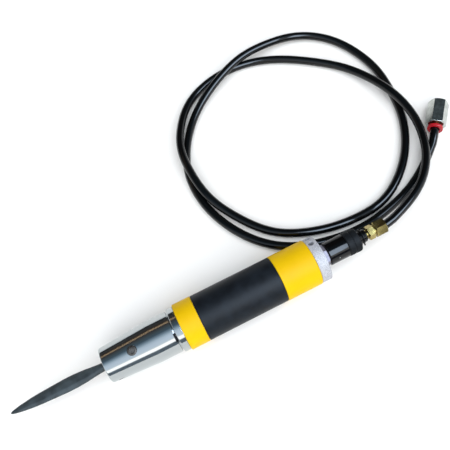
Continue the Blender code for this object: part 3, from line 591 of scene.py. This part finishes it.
def makeSetScrew(name, node, angle, screw, body):
    # socket set screw across the axis, its edge chamfered and its hexagon open outward
    tip, dogTop, top = screw["tip"], screw["dogTop"], screw["top"]
    radius, dog = screw["radius"], screw["dogRadius"]
    threadDepth, threadPitch, plain = 0.35 * mm, 0.9 * mm, 1.2 * mm
    outline = [
        (0, tip), (dog - 0.3 * mm, tip), (dog, tip + 0.3 * mm), (dog, dogTop),
        (radius - 0.4 * mm, dogTop), (radius, dogTop + 0.4 * mm),
    ]
    turns = max(2, int((top - dogTop - plain) / threadPitch))
    pitch = (top - dogTop - plain) / turns
    for i in range(turns):
        base = dogTop + 0.5 * mm + pitch * i
        outline += [(radius, base + pitch * 0.2), (radius - threadDepth, base + pitch * 0.5)]
        outline.append((radius, base + pitch * 0.8))
    outline += [(radius, top - 0.5 * mm), (radius - 0.45 * mm, top - 0.06 * mm), (radius - 0.7 * mm, top), (0, top)]
    low, high = span(node)
    place = onAxis @ Matrix.Translation(((low.x + high.x) / 2, 0, 0)) @ facing(angle)
    mesh = revolved([(r, 0, z) for r, z in outline], (0, 0, 1), 48, False)
    piece = showPiece(name, mesh, screwSteel, body, [node], place)
    corner = screw["socket"] / math.sqrt(3)
    turn = Matrix.Rotation(math.radians(12), 4, "Z")
    for segments, bottom, mouth, depth, height in (
        (6, corner, corner, 5 * mm, top),
        (32, corner - 0.5 * mm, corner + 0.45 * mm, 0.9 * mm, top + 0.1 * mm),
    ):
        hole = bmesh.new()
        bmesh.ops.create_cone(
            hole, cap_ends=True, segments=segments, radius1=bottom, radius2=mouth,
            depth=depth, matrix=Matrix.Translation((0, 0, height)) @ turn,
        )
        cutBy(piece, hole, place)
    evenShading(piece)


makeNose()
makeSetScrew("guideScrewTop", "guide_screw_1", 13, guideScrew, "housing")
makeSetScrew("guideScrewBottom", "guide_screw_2", 193, guideScrew, "housing")
makeSetScrew("clampScrew", "blade_clamp_screw", 103, clampScrew, "tool_holder")
print("nose and screws made")


# Blade: a round shank drawn out into a leaf, ground to an edge all round

def makeBlade():
    leaf = {
        "shankRadius": 3.4 * mm,
        "shankEndRadius": 2.8 * mm,
        "shankChamfer": 0.6 * mm,
        # share of the height where the ground flat begins
        "flatFrom": 0.86,
        # distance from the nose front in mm, half width, half thickness and how far it has become a leaf
        "stations": (
            (1.0, 3.4, 3.4, 0.0), (2.5, 3.55, 3.35, 0.02), (4.8, 3.85, 3.2, 0.1), (8.6, 4.25, 2.85, 0.35),
            (12.9, 4.7, 2.5, 0.6), (17.2, 5.25, 2.25, 0.8), (22.3, 5.7, 2.05, 1.0), (27.5, 5.98, 1.95, 1.0),
            (32.6, 6.05, 1.9, 1.0), (37.0, 5.95, 1.85, 1.0), (41.2, 5.78, 1.79, 1.0), (49.8, 5.35, 1.67, 1.0),
            (58.3, 4.9, 1.52, 1.0), (65.2, 4.39, 1.4, 1.0), (72.1, 3.57, 1.25, 1.0), (77.2, 2.81, 1.1, 1.0),
            (81.5, 2.0, 0.95, 1.0), (84.0, 1.35, 0.75, 1.0), (85.3, 0.7, 0.5, 1.0),
        ),
    }
    low, high = span("blade")
    front = ends("nose_cone")[0]
    count = 48
    mesh = bmesh.new()

    def ring(x, halfWidth, halfThickness, flat):
        verts = []
        for i in range(count):
            angle = 2 * math.pi * i / count
            y, z = math.cos(angle), math.sin(angle)
            lens = math.copysign(abs(z) ** (1 + 0.9 * flat), z)
            # a ground flat along the middle of each face
            level = max(-leaf["flatFrom"], min(leaf["flatFrom"], lens)) / leaf["flatFrom"]
            z = lens * (1 - flat) + level * flat
            verts.append(mesh.verts.new((x, halfWidth * y, halfThickness * z)))
        return verts

    shank, end = leaf["shankRadius"], leaf["shankEndRadius"]
    rings = [ring(high.x, end, end, 0), ring(high.x - leaf["shankChamfer"], shank, shank, 0)]
    for away, width, thick, flat in leaf["stations"]:
        rings.append(ring(front - away * mm, width * mm, thick * mm, flat))
    bridged(mesh, rings)
    mesh.faces.new(rings[0])
    point = mesh.verts.new((low.x, 0, 0))
    for i in range(count):
        mesh.faces.new((rings[-1][i], rings[-1][(i + 1) % count], point))
    showPiece("scraperBlade", mesh, bladeSteel, "tool_holder", ["blade"], sharp=50)


makeBlade()
print("blade made")


# Rings, grip and covers along the housing

def makeRing(name, node, material, inner, frontRound, rearRound):
    x0, x1 = ends(node)
    radius = reach(node)
    outline = [(x0, inner, 0), (x0, radius, frontRound), (x1, radius, rearRound), (x1, inner, 0)]
    evenShading(turned(name, outline, material, "housing", [node], sides=180))


housingFit = 18.45 * mm
makeRing("noseLockRing", "front_collar", chrome, 15.6 * mm, 1.1 * mm, 0.2 * mm)
makeRing("frontRingEnamelled", "front_ring", yellow, housingFit, 0.6 * mm, 0.6 * mm)
makeRing("rubberGrip", "grip_sleeve", gripRubber, housingFit, 0.5 * mm, 0.5 * mm)
makeRing("rearCoverEnamelled", "rear_cover", yellow, housingFit, 0.6 * mm, 0.6 * mm)


def makeEndCap():
    cap = {
        "boreRadius": 3.0 * mm,
        "studRadius": 7.15 * mm,
        "studDepth": 8.0 * mm,
        # ring groove that holds the felt, open to the front
        "feltInner": 10.5 * mm,
        "feltOuter": 12.9 * mm,
        "feltFromRear": 2.5 * mm,
        "spigotRadius": 15.3 * mm,
        "sealFloor": 13.8 * mm,
        "sealFrom": 1.1 * mm,
        "sealTo": 2.9 * mm,
        "rearRound": 0.9 * mm,
        "rearStep": 0.35 * mm,
        "portRadius": 2.4 * mm,
        "portFromRear": 5.0 * mm,
        "portFloor": 11.7 * mm,
        "portFlare": 0.3 * mm,
        "portAngles": (-26, -50, -74, -98),
    }
    x0, x1 = ends("end_cap")
    radius = reach("end_cap")
    shoulder = ends("rear_cover")[1] + 0.2 * mm
    bore, stud, spigot = cap["boreRadius"], cap["studRadius"], cap["spigotRadius"]
    feltEnd, step = x1 - cap["feltFromRear"], x1 - cap["rearStep"]
    outline = [
        (x0, bore, 0), (x0, cap["feltInner"], 0), (feltEnd, cap["feltInner"], 0), (feltEnd, cap["feltOuter"], 0),
        (x0, cap["feltOuter"], 0), (x0, spigot, 0.2 * mm), (x0 + cap["sealFrom"], spigot, 0),
        (x0 + cap["sealFrom"], cap["sealFloor"], 0), (x0 + cap["sealTo"], cap["sealFloor"], 0),
        (x0 + cap["sealTo"], spigot, 0), (shoulder, spigot, 0), (shoulder, radius, 0.3 * mm),
    ]
    rimSteps = 6
    outline += [(shoulder + (x1 - shoulder) * i / rimSteps, radius, 0) for i in range(1, rimSteps)]
    outline += [
        (x1, radius, cap["rearRound"]), (x1, 11.5 * mm, 0), (step, 11.2 * mm, 0.1 * mm), (step, stud, 0.2 * mm),
        (x1 - cap["studDepth"], stud, 0), (x1 - cap["studDepth"], bore, 0),
    ]
    piece = turned("blastedEndCap", outline, aluminium, "housing", ["end_cap"], sides=180)
    outside = 24 * mm
    for angle in cap["portAngles"]:
        port = drilled(
            x1 - cap["portFromRear"], angle, cap["portRadius"], cap["portFloor"], outside, cap["portFlare"], radius)
        cutBy(piece, port)
    evenShading(piece)


makeEndCap()
print("housing made")


# Valve: lock nut, lacquered body, knurled sliding collar, neck with its spring clip

def makeValve():
    valve = {
        "nutFlats": 17 * mm,
        "studRadius": 7.0 * mm,
        "bodyRound": 0.7 * mm,
        "throttleRadius": 8.2 * mm,
        "neckRadius": 5.85 * mm,
        "knurlPitch": 1.02 * mm,
        "knurlRows": 26,
        "knurlTeeth": 66,
        "knurlDepth": 0.28 * mm,
        "groove": 0.55 * mm,
    }
    x0, x1 = ends("lock_nut")
    stud = valve["studRadius"]
    bore = [(x0 - 1 * mm, 0), (x0 - 1 * mm, stud + 0.15 * mm), (x1 + 1 * mm, stud + 0.15 * mm), (x1 + 1 * mm, 0)]
    hexBar("lockNutZinc", x0, x1, valve["nutFlats"], bore, boltSteel, "housing", ["lock_nut"])

    b0, b1 = ends("throttle_body")
    radius = reach("throttle_body")
    bodyFront = x1 + 0.3 * mm
    k0, k1 = ends("throttle_collar")
    bodyRear = k0 - 0.3 * mm
    throttleEnd = bodyRear + 9.1 * mm
    clip0, clip1 = ends("collar_clip")
    throat = valve["throttleRadius"]
    neck = valve["neckRadius"]
    outline = [
        (b0, 2.4 * mm, 0), (b0, stud, 0.4 * mm), (bodyFront, stud, 0),
        (bodyFront, radius, valve["bodyRound"]), (bodyRear, radius, 0.3 * mm), (bodyRear, throat, 0),
        (bodyRear + 1.5 * mm, throat, 0), (bodyRear + 1.5 * mm, throat - 1.4 * mm, 0),
        (bodyRear + 3.3 * mm, throat - 1.4 * mm, 0), (bodyRear + 3.3 * mm, throat, 0),
        (throttleEnd, throat, 0.3 * mm), (throttleEnd, neck, 0),
        (throttleEnd + 0.7 * mm, neck, 0), (throttleEnd + 0.7 * mm, neck - 1.2 * mm, 0),
        (throttleEnd + 2.5 * mm, neck - 1.2 * mm, 0), (throttleEnd + 2.5 * mm, neck, 0),
        (clip0 - 0.1 * mm, neck, 0.1 * mm), (clip0 - 0.1 * mm, neck - 0.6 * mm, 0),
        (clip1 + 0.1 * mm, neck - 0.6 * mm, 0), (clip1 + 0.1 * mm, neck, 0.1 * mm),
        (b1, neck, 0.7 * mm), (b1, 4.4 * mm, 0.2 * mm), (b1 - 6.4 * mm, 4.4 * mm, 0), (b1 - 6.4 * mm, 2.4 * mm, 0),
    ]
    body = turned("valveBodyLacquered", outline, valveBlack, "housing", ["throttle_body"])
    # a small filled dot marks the open position
    markX, markAngle = bodyFront + 7.7 * mm, 67
    dot = drilled(markX, markAngle, 0.65 * mm, radius - 0.35 * mm, radius + 2 * mm, sides=20)
    cutBy(body, dot)
    evenShading(body)
    fill = bmesh.new()
    for v in bmesh.ops.create_uvsphere(fill, u_segments=20, v_segments=10, radius=0.6 * mm)["verts"]:
        v.co.z *= 0.35
    spot = Vector((markX, 0, 0)) + clockwise(markAngle) * (radius - 0.3 * mm)
    bmesh.ops.transform(fill, matrix=Matrix.Translation(spot) @ facing(markAngle), verts=fill.verts)
    showPiece("openMark", fill, markWhite, "housing")

    # diamond knurl: rows of points along the collar, each row turned half a tooth
    mesh = bmesh.new()
    outer = reach("throttle_collar")
    rows, teeth = valve["knurlRows"], valve["knurlTeeth"]
    middle = (k0 + k1) / 2
    profile = [(k0, throat + 0.3 * mm, 0), (k0, outer - 0.5 * mm, 0)]
    for i in range(rows + 1):
        x = k0 + 0.35 * mm + (k1 - k0 - 1.3 * mm) * i / rows
        inGroove = abs(x - middle) < 0.45 * mm
        profile.append((x, outer - (valve["groove"] if inGroove else 0), 0 if inGroove else 1))
    profile += [(k1 - 0.45 * mm, outer - 0.45 * mm, 0), (k1, outer - 0.95 * mm, 0), (k1, neck + 0.3 * mm, 0)]
    profile += [(throttleEnd + 0.3 * mm, neck + 0.3 * mm, 0), (throttleEnd + 0.3 * mm, throat + 0.3 * mm, 0)]
    count = teeth * 4
    rings = []
    for x, r, rough in profile:
        ring = []
        for k in range(count):
            u = k / 4
            v = (x - k0) / valve["knurlPitch"]
            wave = abs(((u + v) % 1) - 0.5) + abs(((u - v) % 1) - 0.5)
            depth = valve["knurlDepth"] * (1 - wave) * rough
            angle = 2 * math.pi * k / count
            rr = r - max(0.0, depth)
            ring.append(mesh.verts.new((x, rr * math.sin(angle), rr * math.cos(angle))))
        rings.append(ring)
    rings.append(rings[0])
    bridged(mesh, rings)
    showPiece("knurledCollar", mesh, knurlBlack, "throttle", ["throttle_collar"], sharp=35)

    # open spring clip with an ear at each end
    mesh = bmesh.new()
    # angles in degrees: the gap, its middle, how far an ear reaches and how fast it fades
    gap, middleAngle, earReach, earFade, steps = 34, 128, 11, 5, 72
    inner, width, earHeight, corner = neck - 0.5 * mm, 1.9 * mm, 1.0 * mm, 0.15 * mm
    half = (clip1 - clip0) / 2
    centre = (clip0 + clip1) / 2
    rings = []
    for i in range(steps + 1):
        sweep = (360 - gap) * i / steps
        fromEnd = min(sweep, 360 - gap - sweep)
        ear = earHeight if fromEnd < earReach else max(0.0, earHeight * (1 - (fromEnd - earReach) / earFade))
        rim = inner + width + ear
        out = clockwise(middleAngle + gap / 2 + sweep)
        rings.append([mesh.verts.new(Vector((centre + x, 0, 0)) + out * r) for x, r in (
            (-half, inner), (-half, rim - corner), (-half + corner, rim),
            (half - corner, rim), (half, rim - corner), (half, inner),
        )])
    bridged(mesh, rings)
    capped(mesh, rings)
    evenShading(showPiece("springClip", mesh, blackOxideAndNotchShade, "housing", ["collar_clip"], sharp=35))


makeValve()
print("valve made")


# Brass inlet: adapter with a thread at each end, and the nut that clamps the hose

def threaded(x0, x1, radius, pitch, depth):
    # plain points along a thread's profile, drawn as rings
    points = []
    turns = max(1, int((x1 - x0) / pitch))
    step = (x1 - x0) / turns
    for i in range(turns):
        base = x0 + step * i
        points += [(base + step * share, radius) for share in (0.15, 0.35)]
        points += [(base + step * share, radius - depth) for share in (0.65, 0.85)]
    return points


def makeInlet():
    inlet = {
        "adapterFlats": 11.3 * mm,
        "nutFlats": 13 * mm,
        "hexLength": 5.8 * mm,
        "adapterCorner": 44,
        "nutCorner": 15,
        "threadRadius": 4.3 * mm,
        "threadPitch": 0.9 * mm,
        "threadDepth": 0.35 * mm,
        "bore": 1.5 * mm,
    }
    a0, a1 = ends("inlet_adapter")
    n0, n1 = ends("hose_nut")
    neckEnd = ends("throttle_body")[1]
    hexFront = neckEnd + 2.2 * mm
    hexRear = hexFront + inlet["hexLength"]
    bore = inlet["bore"]
    hole = [(hexFront - 1 * mm, 0), (hexFront - 1 * mm, bore), (hexRear + 1 * mm, bore), (hexRear + 1 * mm, 0)]
    hexBar(
        "adapterHexagon", hexFront, hexRear, inlet["adapterFlats"], hole, brass, "housing",
        ["inlet_adapter"], cornerAt=inlet["adapterCorner"], chamfer=1.2,
    )
    r = inlet["threadRadius"]
    front = [(a0, bore), (a0, r - 0.3 * mm)]
    front += threaded(a0 + 0.3 * mm, hexFront + 0.2 * mm, r, inlet["threadPitch"], inlet["threadDepth"])
    front += [(hexFront + 0.3 * mm, r - 0.4 * mm), (hexFront + 0.3 * mm, bore)]
    evenShading(showPiece("adapterThread", spun(front, 72), brass, "housing"))
    r = 4.9 * mm
    rear = [(hexRear - 0.3 * mm, bore), (hexRear - 0.3 * mm, r - 0.3 * mm)]
    rear += threaded(hexRear + 0.1 * mm, n0 + 2.5 * mm, r, 0.8 * mm, 0.3 * mm)
    rear += [(n0 + 2.6 * mm, 2.4 * mm), (a1, 2.4 * mm), (a1, bore)]
    evenShading(showPiece("adapterSpigot", spun(rear, 72), brass, "housing"))
    hole = [
        (n0 - 1 * mm, 0), (n0 - 1 * mm, 5.15 * mm), (n0 + 3.2 * mm, 5.15 * mm), (n0 + 3.2 * mm, 4.3 * mm),
        (n1 - 0.6 * mm, 4.3 * mm), (n1 + 0.4 * mm, 5.2 * mm), (n1 + 1 * mm, 5.2 * mm), (n1 + 1 * mm, 0),
    ]
    hexBar(
        "hoseNutHexagon", n0, n1, inlet["nutFlats"], hole, brass, "housing", ["hose_nut"],
        cornerAt=inlet["nutCorner"], chamfer=1.5,
    )


makeInlet()
print("inlet made")


# Hose: 8 mm polyurethane, its route in metres from the nut's rear face, along, across and up

hose = {
    "radius": 4.0 * mm,
    "grip": 5.2 * mm,
    "couplingFromExit": (0.0993, 0.0672, 0.0085),
    "couplingAngle": 49.5,
    "straight": 8.0 * mm,
    "depth": 12.0 * mm,
    "step": 4 * mm,
    "passes": 24,
    "held": 3,
}
lying = hose["radius"] + 0.2 * mm
hoseRoute = (
    (0.020, 0.005, 0.0186),
    (0.051, 0.020, 0.0150),
    (0.073, 0.042, 0.0132),
    (0.085, 0.067, 0.0116),
    (0.090, 0.094, 0.0115),
    (0.085, 0.126, 0.0129),
    (0.072, 0.164, 0.0065),
    (0.056, 0.187, lying),
    (0.006, 0.225, lying),
    (-0.044, 0.236, lying),
    (-0.093, 0.219, 0.0060),
    (-0.122, 0.177, 0.0120),
    (-0.127, 0.155, 0.0131),
    (-0.127, 0.139, 0.0127),
    (-0.125, 0.111, 0.0106),
    (-0.114, 0.087, 0.0050),
    (-0.084, 0.045, lying),
    (-0.039, 0.026, lying),
    (-0.021, 0.024, lying),
    (0.018, 0.0255, lying),
    (0.058, 0.054, lying),
    (0.083, 0.095, lying),
    (0.090, 0.132, lying),
    (0.092, 0.164, lying),
    (0.075, 0.212, 0.0044),
    (0.040, 0.239, 0.0065),
    (-0.011, 0.240, 0.0123),
    (-0.035, 0.234, 0.0130),
    (-0.074, 0.216, 0.0085),
    (-0.106, 0.189, lying),
    (-0.129, 0.145, lying),
    (-0.128, 0.096, lying),
    (-0.108, 0.053, lying),
    (-0.080, 0.027, lying),
    (-0.043, 0.015, lying),
    (-0.020, 0.0125, lying),
    (0.000, 0.013, lying),
    (0.039, 0.023, lying),
    (0.058, 0.032, lying),
    (0.074, 0.043, 0.0043),
    (0.086, 0.0525, 0.0058),
)
along, across, up = hose["couplingFromExit"]
couplingSpot = Vector((hoseExit.x + along, across, up))
onCoupling = Matrix.Translation(couplingSpot) @ Matrix.Rotation(math.radians(hose["couplingAngle"]), 4, "Z")


def evenRun(points, step):
    # the same line with its points at an even step
    along = [0.0]
    for near, far in zip(points, points[1:]):
        along.append(along[-1] + (far - near).length)
    count = round(along[-1] / step)
    result, at = [], 0
    for i in range(count + 1):
        wanted = along[-1] * i / count
        while at < len(points) - 2 and along[at + 1] < wanted:
            at += 1
        result.append(points[at].lerp(points[at + 1], (wanted - along[at]) / (along[at + 1] - along[at])))
    return result


def relaxed(points, passes, held):
    # small wavers average out, as in a stiff hose; the ends stay put
    for _ in range(passes):
        middle = [(a + 2 * b + c) / 4 for a, b, c in zip(points, points[1:], points[2:])]
        keep = len(points) - held
        points = points[:held] + middle[held - 1:keep - 1] + points[keep:]
    return points


def curveThrough(points):
    # close points along a Catmull-Rom curve
    dense, steps = [], 16
    run = [2 * points[0] - points[1], *points, 2 * points[-1] - points[-2]]
    for a, b, c, d in zip(run, run[1:], run[2:], run[3:]):
        for i in range(steps):
            t = i / steps
            dense.append(0.5 * (
                2 * b + (c - a) * t + (2 * a - 5 * b + 4 * c - d) * t * t + (3 * b - 3 * c + d - a) * t ** 3))
    dense.append(points[-1])
    return dense


def makeHose():
    points = [Vector((hoseExit.x + 0.0015, 0, axisHeight))]
    points += [Vector((hoseExit.x + x, y, z)) for x, y, z in hoseRoute]
    points.append(onCoupling @ Vector((-hose["straight"], 0, -0.4 * mm)))
    line = relaxed(evenRun(curveThrough(points), hose["step"]), hose["passes"], hose["held"])
    for point in line:
        point.z = max(point.z, lying)
    line.insert(0, Vector((hoseExit.x - hose["grip"], 0, axisHeight)))
    line += [
        onCoupling @ Vector((-hose["straight"] * 0.5, 0, -0.1 * mm)),
        onCoupling @ Vector((0, 0, 0)),
        onCoupling @ Vector((hose["depth"], 0, 0)),
    ]
    length = sum((far - near).length for near, far in zip(line, line[1:]))
    data = bpy.data.curves.new("airHose", "CURVE")
    data.dimensions = "3D"
    data.bevel_depth = hose["radius"]
    data.bevel_resolution = 8
    data.use_fill_caps = True
    spline = data.splines.new("POLY")
    spline.points.add(len(line) - 1)
    for i, point in enumerate(line):
        spline.points[i].co = (*point, 1)
    spline.use_smooth = True
    data.materials.append(hoseBlack)
    piece = addObject("airHose", data)
    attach(piece, "housing")
    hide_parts("air_hose")
    return piece, length


hosePiece, hoseLength = makeHose()
print("hose length", round(hoseLength, 3))


# Push-in coupling: red release ring, collet, O-ring and a drawn hexagon with an open thread

def makeCoupling():
    coupling = {
        "flats": 17 * mm,
        "length": 26 * mm,
        "gap": 2.05 * mm,
        "ringRadius": 7.25 * mm,
        "ringHalf": 1.25 * mm,
        "bore": 4.3 * mm,
        "socketRadius": 5.9 * mm,
        "socketDepth": 11.8 * mm,
        "threadPitch": 1.3 * mm,
    }
    half = coupling["ringHalf"]
    bore = coupling["bore"]
    ringRadius = coupling["ringRadius"]
    outline = [
        (-half, bore, 0.5 * mm), (-half, ringRadius, 0.7 * mm), (half, ringRadius, 0.35 * mm), (half, bore, 0),
    ]
    ring = evenShading(
        turned("redReleaseRing", outline, redPlastic, "release", ["release_ring"], 96, onCoupling))
    c0 = half + 0.3 * mm
    outline = [
        (c0, bore, 0), (c0, 5.2 * mm, 0.15 * mm), (c0 + 0.9 * mm, 5.2 * mm, 0.1 * mm),
        (c0 + 1.1 * mm, 4.9 * mm, 0.1 * mm), (c0 + 4.4 * mm, 4.9 * mm, 0), (c0 + 5.2 * mm, 5.3 * mm, 0.2 * mm),
        (c0 + 6.0 * mm, 5.1 * mm, 0.1 * mm), (c0 + 6.0 * mm, bore, 0),
    ]
    collet = evenShading(
        turned("copperCollet", outline, copper, "release", ["connector_collet"], 96, onCoupling))
    b0 = half + coupling["gap"]
    b1 = b0 + coupling["length"]
    floor = b1 - coupling["socketDepth"]
    socket = coupling["socketRadius"]
    seat, seatEnd, passage = 5.6 * mm, 12.3 * mm, 2.4 * mm
    hole = [
        (b0 - 1 * mm, 0), (b0 - 1 * mm, 6.4 * mm), (b0 + 0.5 * mm, seat), (seatEnd, seat), (seatEnd, passage),
        (floor, passage), (floor, socket),
    ]
    hole += threaded(floor + 1.2 * mm, b1 - 1.2 * mm, socket + 0.35 * mm, coupling["threadPitch"], 0.4 * mm)
    hole += [(b1 - 1.0 * mm, socket), (b1 + 1 * mm, socket + 1.6 * mm), (b1 + 1.5 * mm, 0)]
    body = hexBar(
        "couplingHexagon", b0, b1, coupling["flats"], hole, nickelSteel, "housing", ["connector_body"],
        onCoupling, cornerAt=30, chamfer=1.15,
    )
    return ring, collet, body


couplingPieces = makeCoupling()
print("coupling made")


# Return spring round the chuck: the real one shortens as the chuck moves out, this coil is built once, fixed
# between the imported spring's ends

spring = {
    "turns": 5,
    "wireRadius": 0.9 * mm,
    "stepsPerTurn": 48,
    "wireSides": 12,
}


def makeSpring():
    x0, x1 = ends("return_spring")
    wire, sides = spring["wireRadius"], spring["wireSides"]
    radius = reach("return_spring") - wire
    count = spring["turns"] * spring["stepsPerTurn"]
    around = [2 * math.pi * corner / sides for corner in range(sides)]
    mesh = bmesh.new()
    rings = []
    for step in range(count + 1):
        turn = 2 * math.pi * step / spring["stepsPerTurn"]
        out = Vector((0, math.sin(turn), math.cos(turn)))
        middle = out * radius + Vector((x0 + wire + (x1 - x0 - 2 * wire) * step / count, 0, 0))
        rings.append([
            mesh.verts.new(middle + out * wire * math.cos(a) + Vector((wire * math.sin(a), 0, 0))) for a in around
        ])
    bridged(mesh, rings)
    capped(mesh, rings)
    piece = showPiece("returnSpringWire", mesh, turnedSteel, None)
    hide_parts("return_spring")
    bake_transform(piece)


makeSpring()
print("spring made")


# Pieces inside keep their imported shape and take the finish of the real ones

insideFinish = {
    "chuck": turnedSteel,
    "nose_bush": bronze,
    "front_wiper": sealRubber,
    "spring_seat": boltSteel,
    "buffer_ring": urethane,
    "housing_tube": aluminium,
    "cylinder": turnedSteel,
    "cylinder_seal_front": sealRubber,
    "cylinder_seal_rear": sealRubber,
    "piston": turnedSteel,
    "valve_seat": turnedSteel,
    "valve_disc": boltSteel,
    "valve_cap": turnedSteel,
    "end_cap_seal": sealRubber,
    "exhaust_muffler": felt,
    "throttle_seal_front": sealRubber,
    "throttle_seal_rear": sealRubber,
    "inlet_filter": bronze,
    "connector_seal": sealRubber,
}
for node, material in insideFinish.items():
    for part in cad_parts[node].material_slots:
        part.material = material


# Floor and lights

studio = {
    "floor": "#f3f0ec",
    "horizon": "#e2e5e8",
    "skyStrength": 1.35,
    # the room seen round the tool's axis: degrees from overhead, plus towards the front
    "bands": (
        (-90, "#4f5154"), (-68, "#39393a"), (-50, "#3f3833"), (-34, "#424142"), (-18, "#4a5860"), (-6, "#516372"),
        (6, "#8ea3b4"), (18, "#c7d8e8"), (30, "#dae9fa"), (46, "#e3f0fd"), (50, "#ffffff"), (66, "#ffffff"),
        (69, "#66727f"), (90, "#687687"),
    ),
    # thin warm streaks over the nose only: angle and how far one spreads
    "streaks": ((-46.5, 1.0), (-42.5, 1.9), (-38.6, 0.8)),
}


def makeSky():
    world = bpy.data.worlds.new("studioSky")
    bpy.context.scene.world = world
    world.use_nodes = True
    sky = world.node_tree
    direction = addNode(sky, "ShaderNodeTexCoord").outputs["Generated"]
    parts = addNode(sky, "ShaderNodeSeparateXYZ", inputs={"Vector": direction}).outputs
    front = addNode(sky, "ShaderNodeMath", {"operation": "MULTIPLY"}, {0: parts["Y"], 1: -1.0})
    turn = addNode(sky, "ShaderNodeMath", {"operation": "ARCTAN2"}, {0: front.outputs[0], 1: parts["Z"]})
    share = addNode(sky, "ShaderNodeMapRange", inputs={
        "Value": turn.outputs[0], "From Min": -math.pi / 2, "From Max": math.pi / 2})
    bands = addNode(sky, "ShaderNodeValToRGB", inputs={"Fac": share.outputs["Result"]},
        stops=[((angle + 90) / 180, colour) for angle, colour in studio["bands"]])
    # pale all round near the floor, so that every side has a plain background
    height = addNode(sky, "ShaderNodeMapRange", inputs={"Value": parts["Z"], "From Min": 0.32, "From Max": 0.40})
    mixed = addNode(sky, "ShaderNodeMix", {"data_type": "RGBA"}, {
        0: height.outputs["Result"], 6: fromHex(studio["horizon"]), 7: bands.outputs["Color"]})
    back = sky.nodes["Background"]
    back.inputs["Strength"].default_value = studio["skyStrength"]
    sky.links.new(mixed.outputs[2], back.inputs["Color"])


def flatSheet(name, a, b):
    # a rectangle reaching a along x and b along y, each way from its middle
    mesh = bpy.data.meshes.new(name)
    mesh.from_pydata([(-a, -b, 0), (a, -b, 0), (a, b, 0), (-a, b, 0)], [], [(0, 1, 2, 3)])
    return mesh


def makeFloor():
    reachOut = 12.0
    mesh = flatSheet("studioFloor", reachOut, reachOut)
    floor = addObject("studioFloor", mesh)
    material, tree, shader, place = startMaterial("whitePaperFloor", studio["floor"], 0.0, 0.9)
    fibre = addNode(tree, "ShaderNodeTexNoise", inputs={"Vector": place, "Scale": 1 / (3 * mm), "Detail": 3.0})
    relief = addNode(tree, "ShaderNodeBump", inputs={
        "Height": fibre.outputs["Fac"], "Distance": 0.02 * mm, "Strength": 0.2})
    tree.links.new(relief.outputs["Normal"], shader.inputs["Normal"])
    shader.inputs["Specular IOR Level"].default_value = 0.1
    mesh.materials.append(material)


def aimed(angle, distance, x):
    # faces the tool's axis from an angle counted from overhead towards the front
    out = clockwise(angle)
    spot = Vector((x, 0, axisHeight)) + out * distance
    return Matrix.Translation(spot) @ out.to_track_quat("Z", "Y").to_matrix().to_4x4()


def makePanel(name, angle, distance, x, length, width, power, colour="#ffffff"):
    # a soft panel along the tool
    lamp = bpy.data.lights.new(name, "AREA")
    lamp.shape = "RECTANGLE"
    lamp.energy = power
    lamp.color = fromHex(colour)[:3]
    lamp.size, lamp.size_y = length, width
    light = addObject(name, lamp)
    light.matrix_world = aimed(angle, distance, x)
    light.visible_camera = False
    return light


def makeDaylight():
    # wide even light on floor and paint, without a mirror image of its own
    lamp = bpy.data.lights.new("wideDaylight", "SUN")
    lamp.energy = 2.5
    lamp.angle = math.radians(90)
    light = addObject("wideDaylight", lamp)
    light.matrix_world = aimed(22, 2.0, 0.1)
    light.visible_glossy = False


def makeFlag(name, angle, distance, width, material):
    # a long board by the floor's edge, which draws a dark line in the chrome
    mesh = flatSheet(name, 2.0, width / 2)
    mesh.materials.append(material)
    flag = addObject(name, mesh)
    flag.matrix_world = aimed(angle, distance, 0.0)
    flag.visible_camera = False
    flag.visible_shadow = False
    flag.visible_diffuse = False


makeSky()
makeFloor()
makeDaylight()
# two lengths of one soft bank: the gap keeps it out of the brass, and its end keeps it out of the chrome
for name, x, length in (("toolSoftbox", 0.22, 0.40), ("hoseSoftbox", 1.1, 0.84)):
    softbox = makePanel(
        name, angle=30, distance=1.05, x=x, length=length, width=0.82, power=29 * length, colour="#d3e5fb")
    softbox.visible_diffuse = False
makePanel("frontStrip", angle=59, distance=1.0, x=-0.1, length=2.4, width=0.28, power=2.0)
for number, (angle, spread) in enumerate(studio["streaks"]):
    width = math.radians(spread)
    makePanel(
        "warmStreak" + str(number + 1), angle, distance=1.0, x=-0.5, length=0.9, width=width,
        power=3.4 * width, colour="#f0c89a")
boardGrey = makeMatte("slatePaintedBoard", "#7b8793", "#717c88", 0.9, 3.0, 0.1)
flagFelt = makeMatte("blackFlagFelt", "#2a2b2d", "#1f2021", 0.95, 2.0, 0.1)
makeFlag("backFlag", -73.5, distance=1.6, width=0.42, material=flagFelt)
makeFlag("frontBoard", 80.3, distance=1.6, width=0.57, material=boardGrey)
bpy.context.scene.view_settings.view_transform = "Standard"
print("studio made")
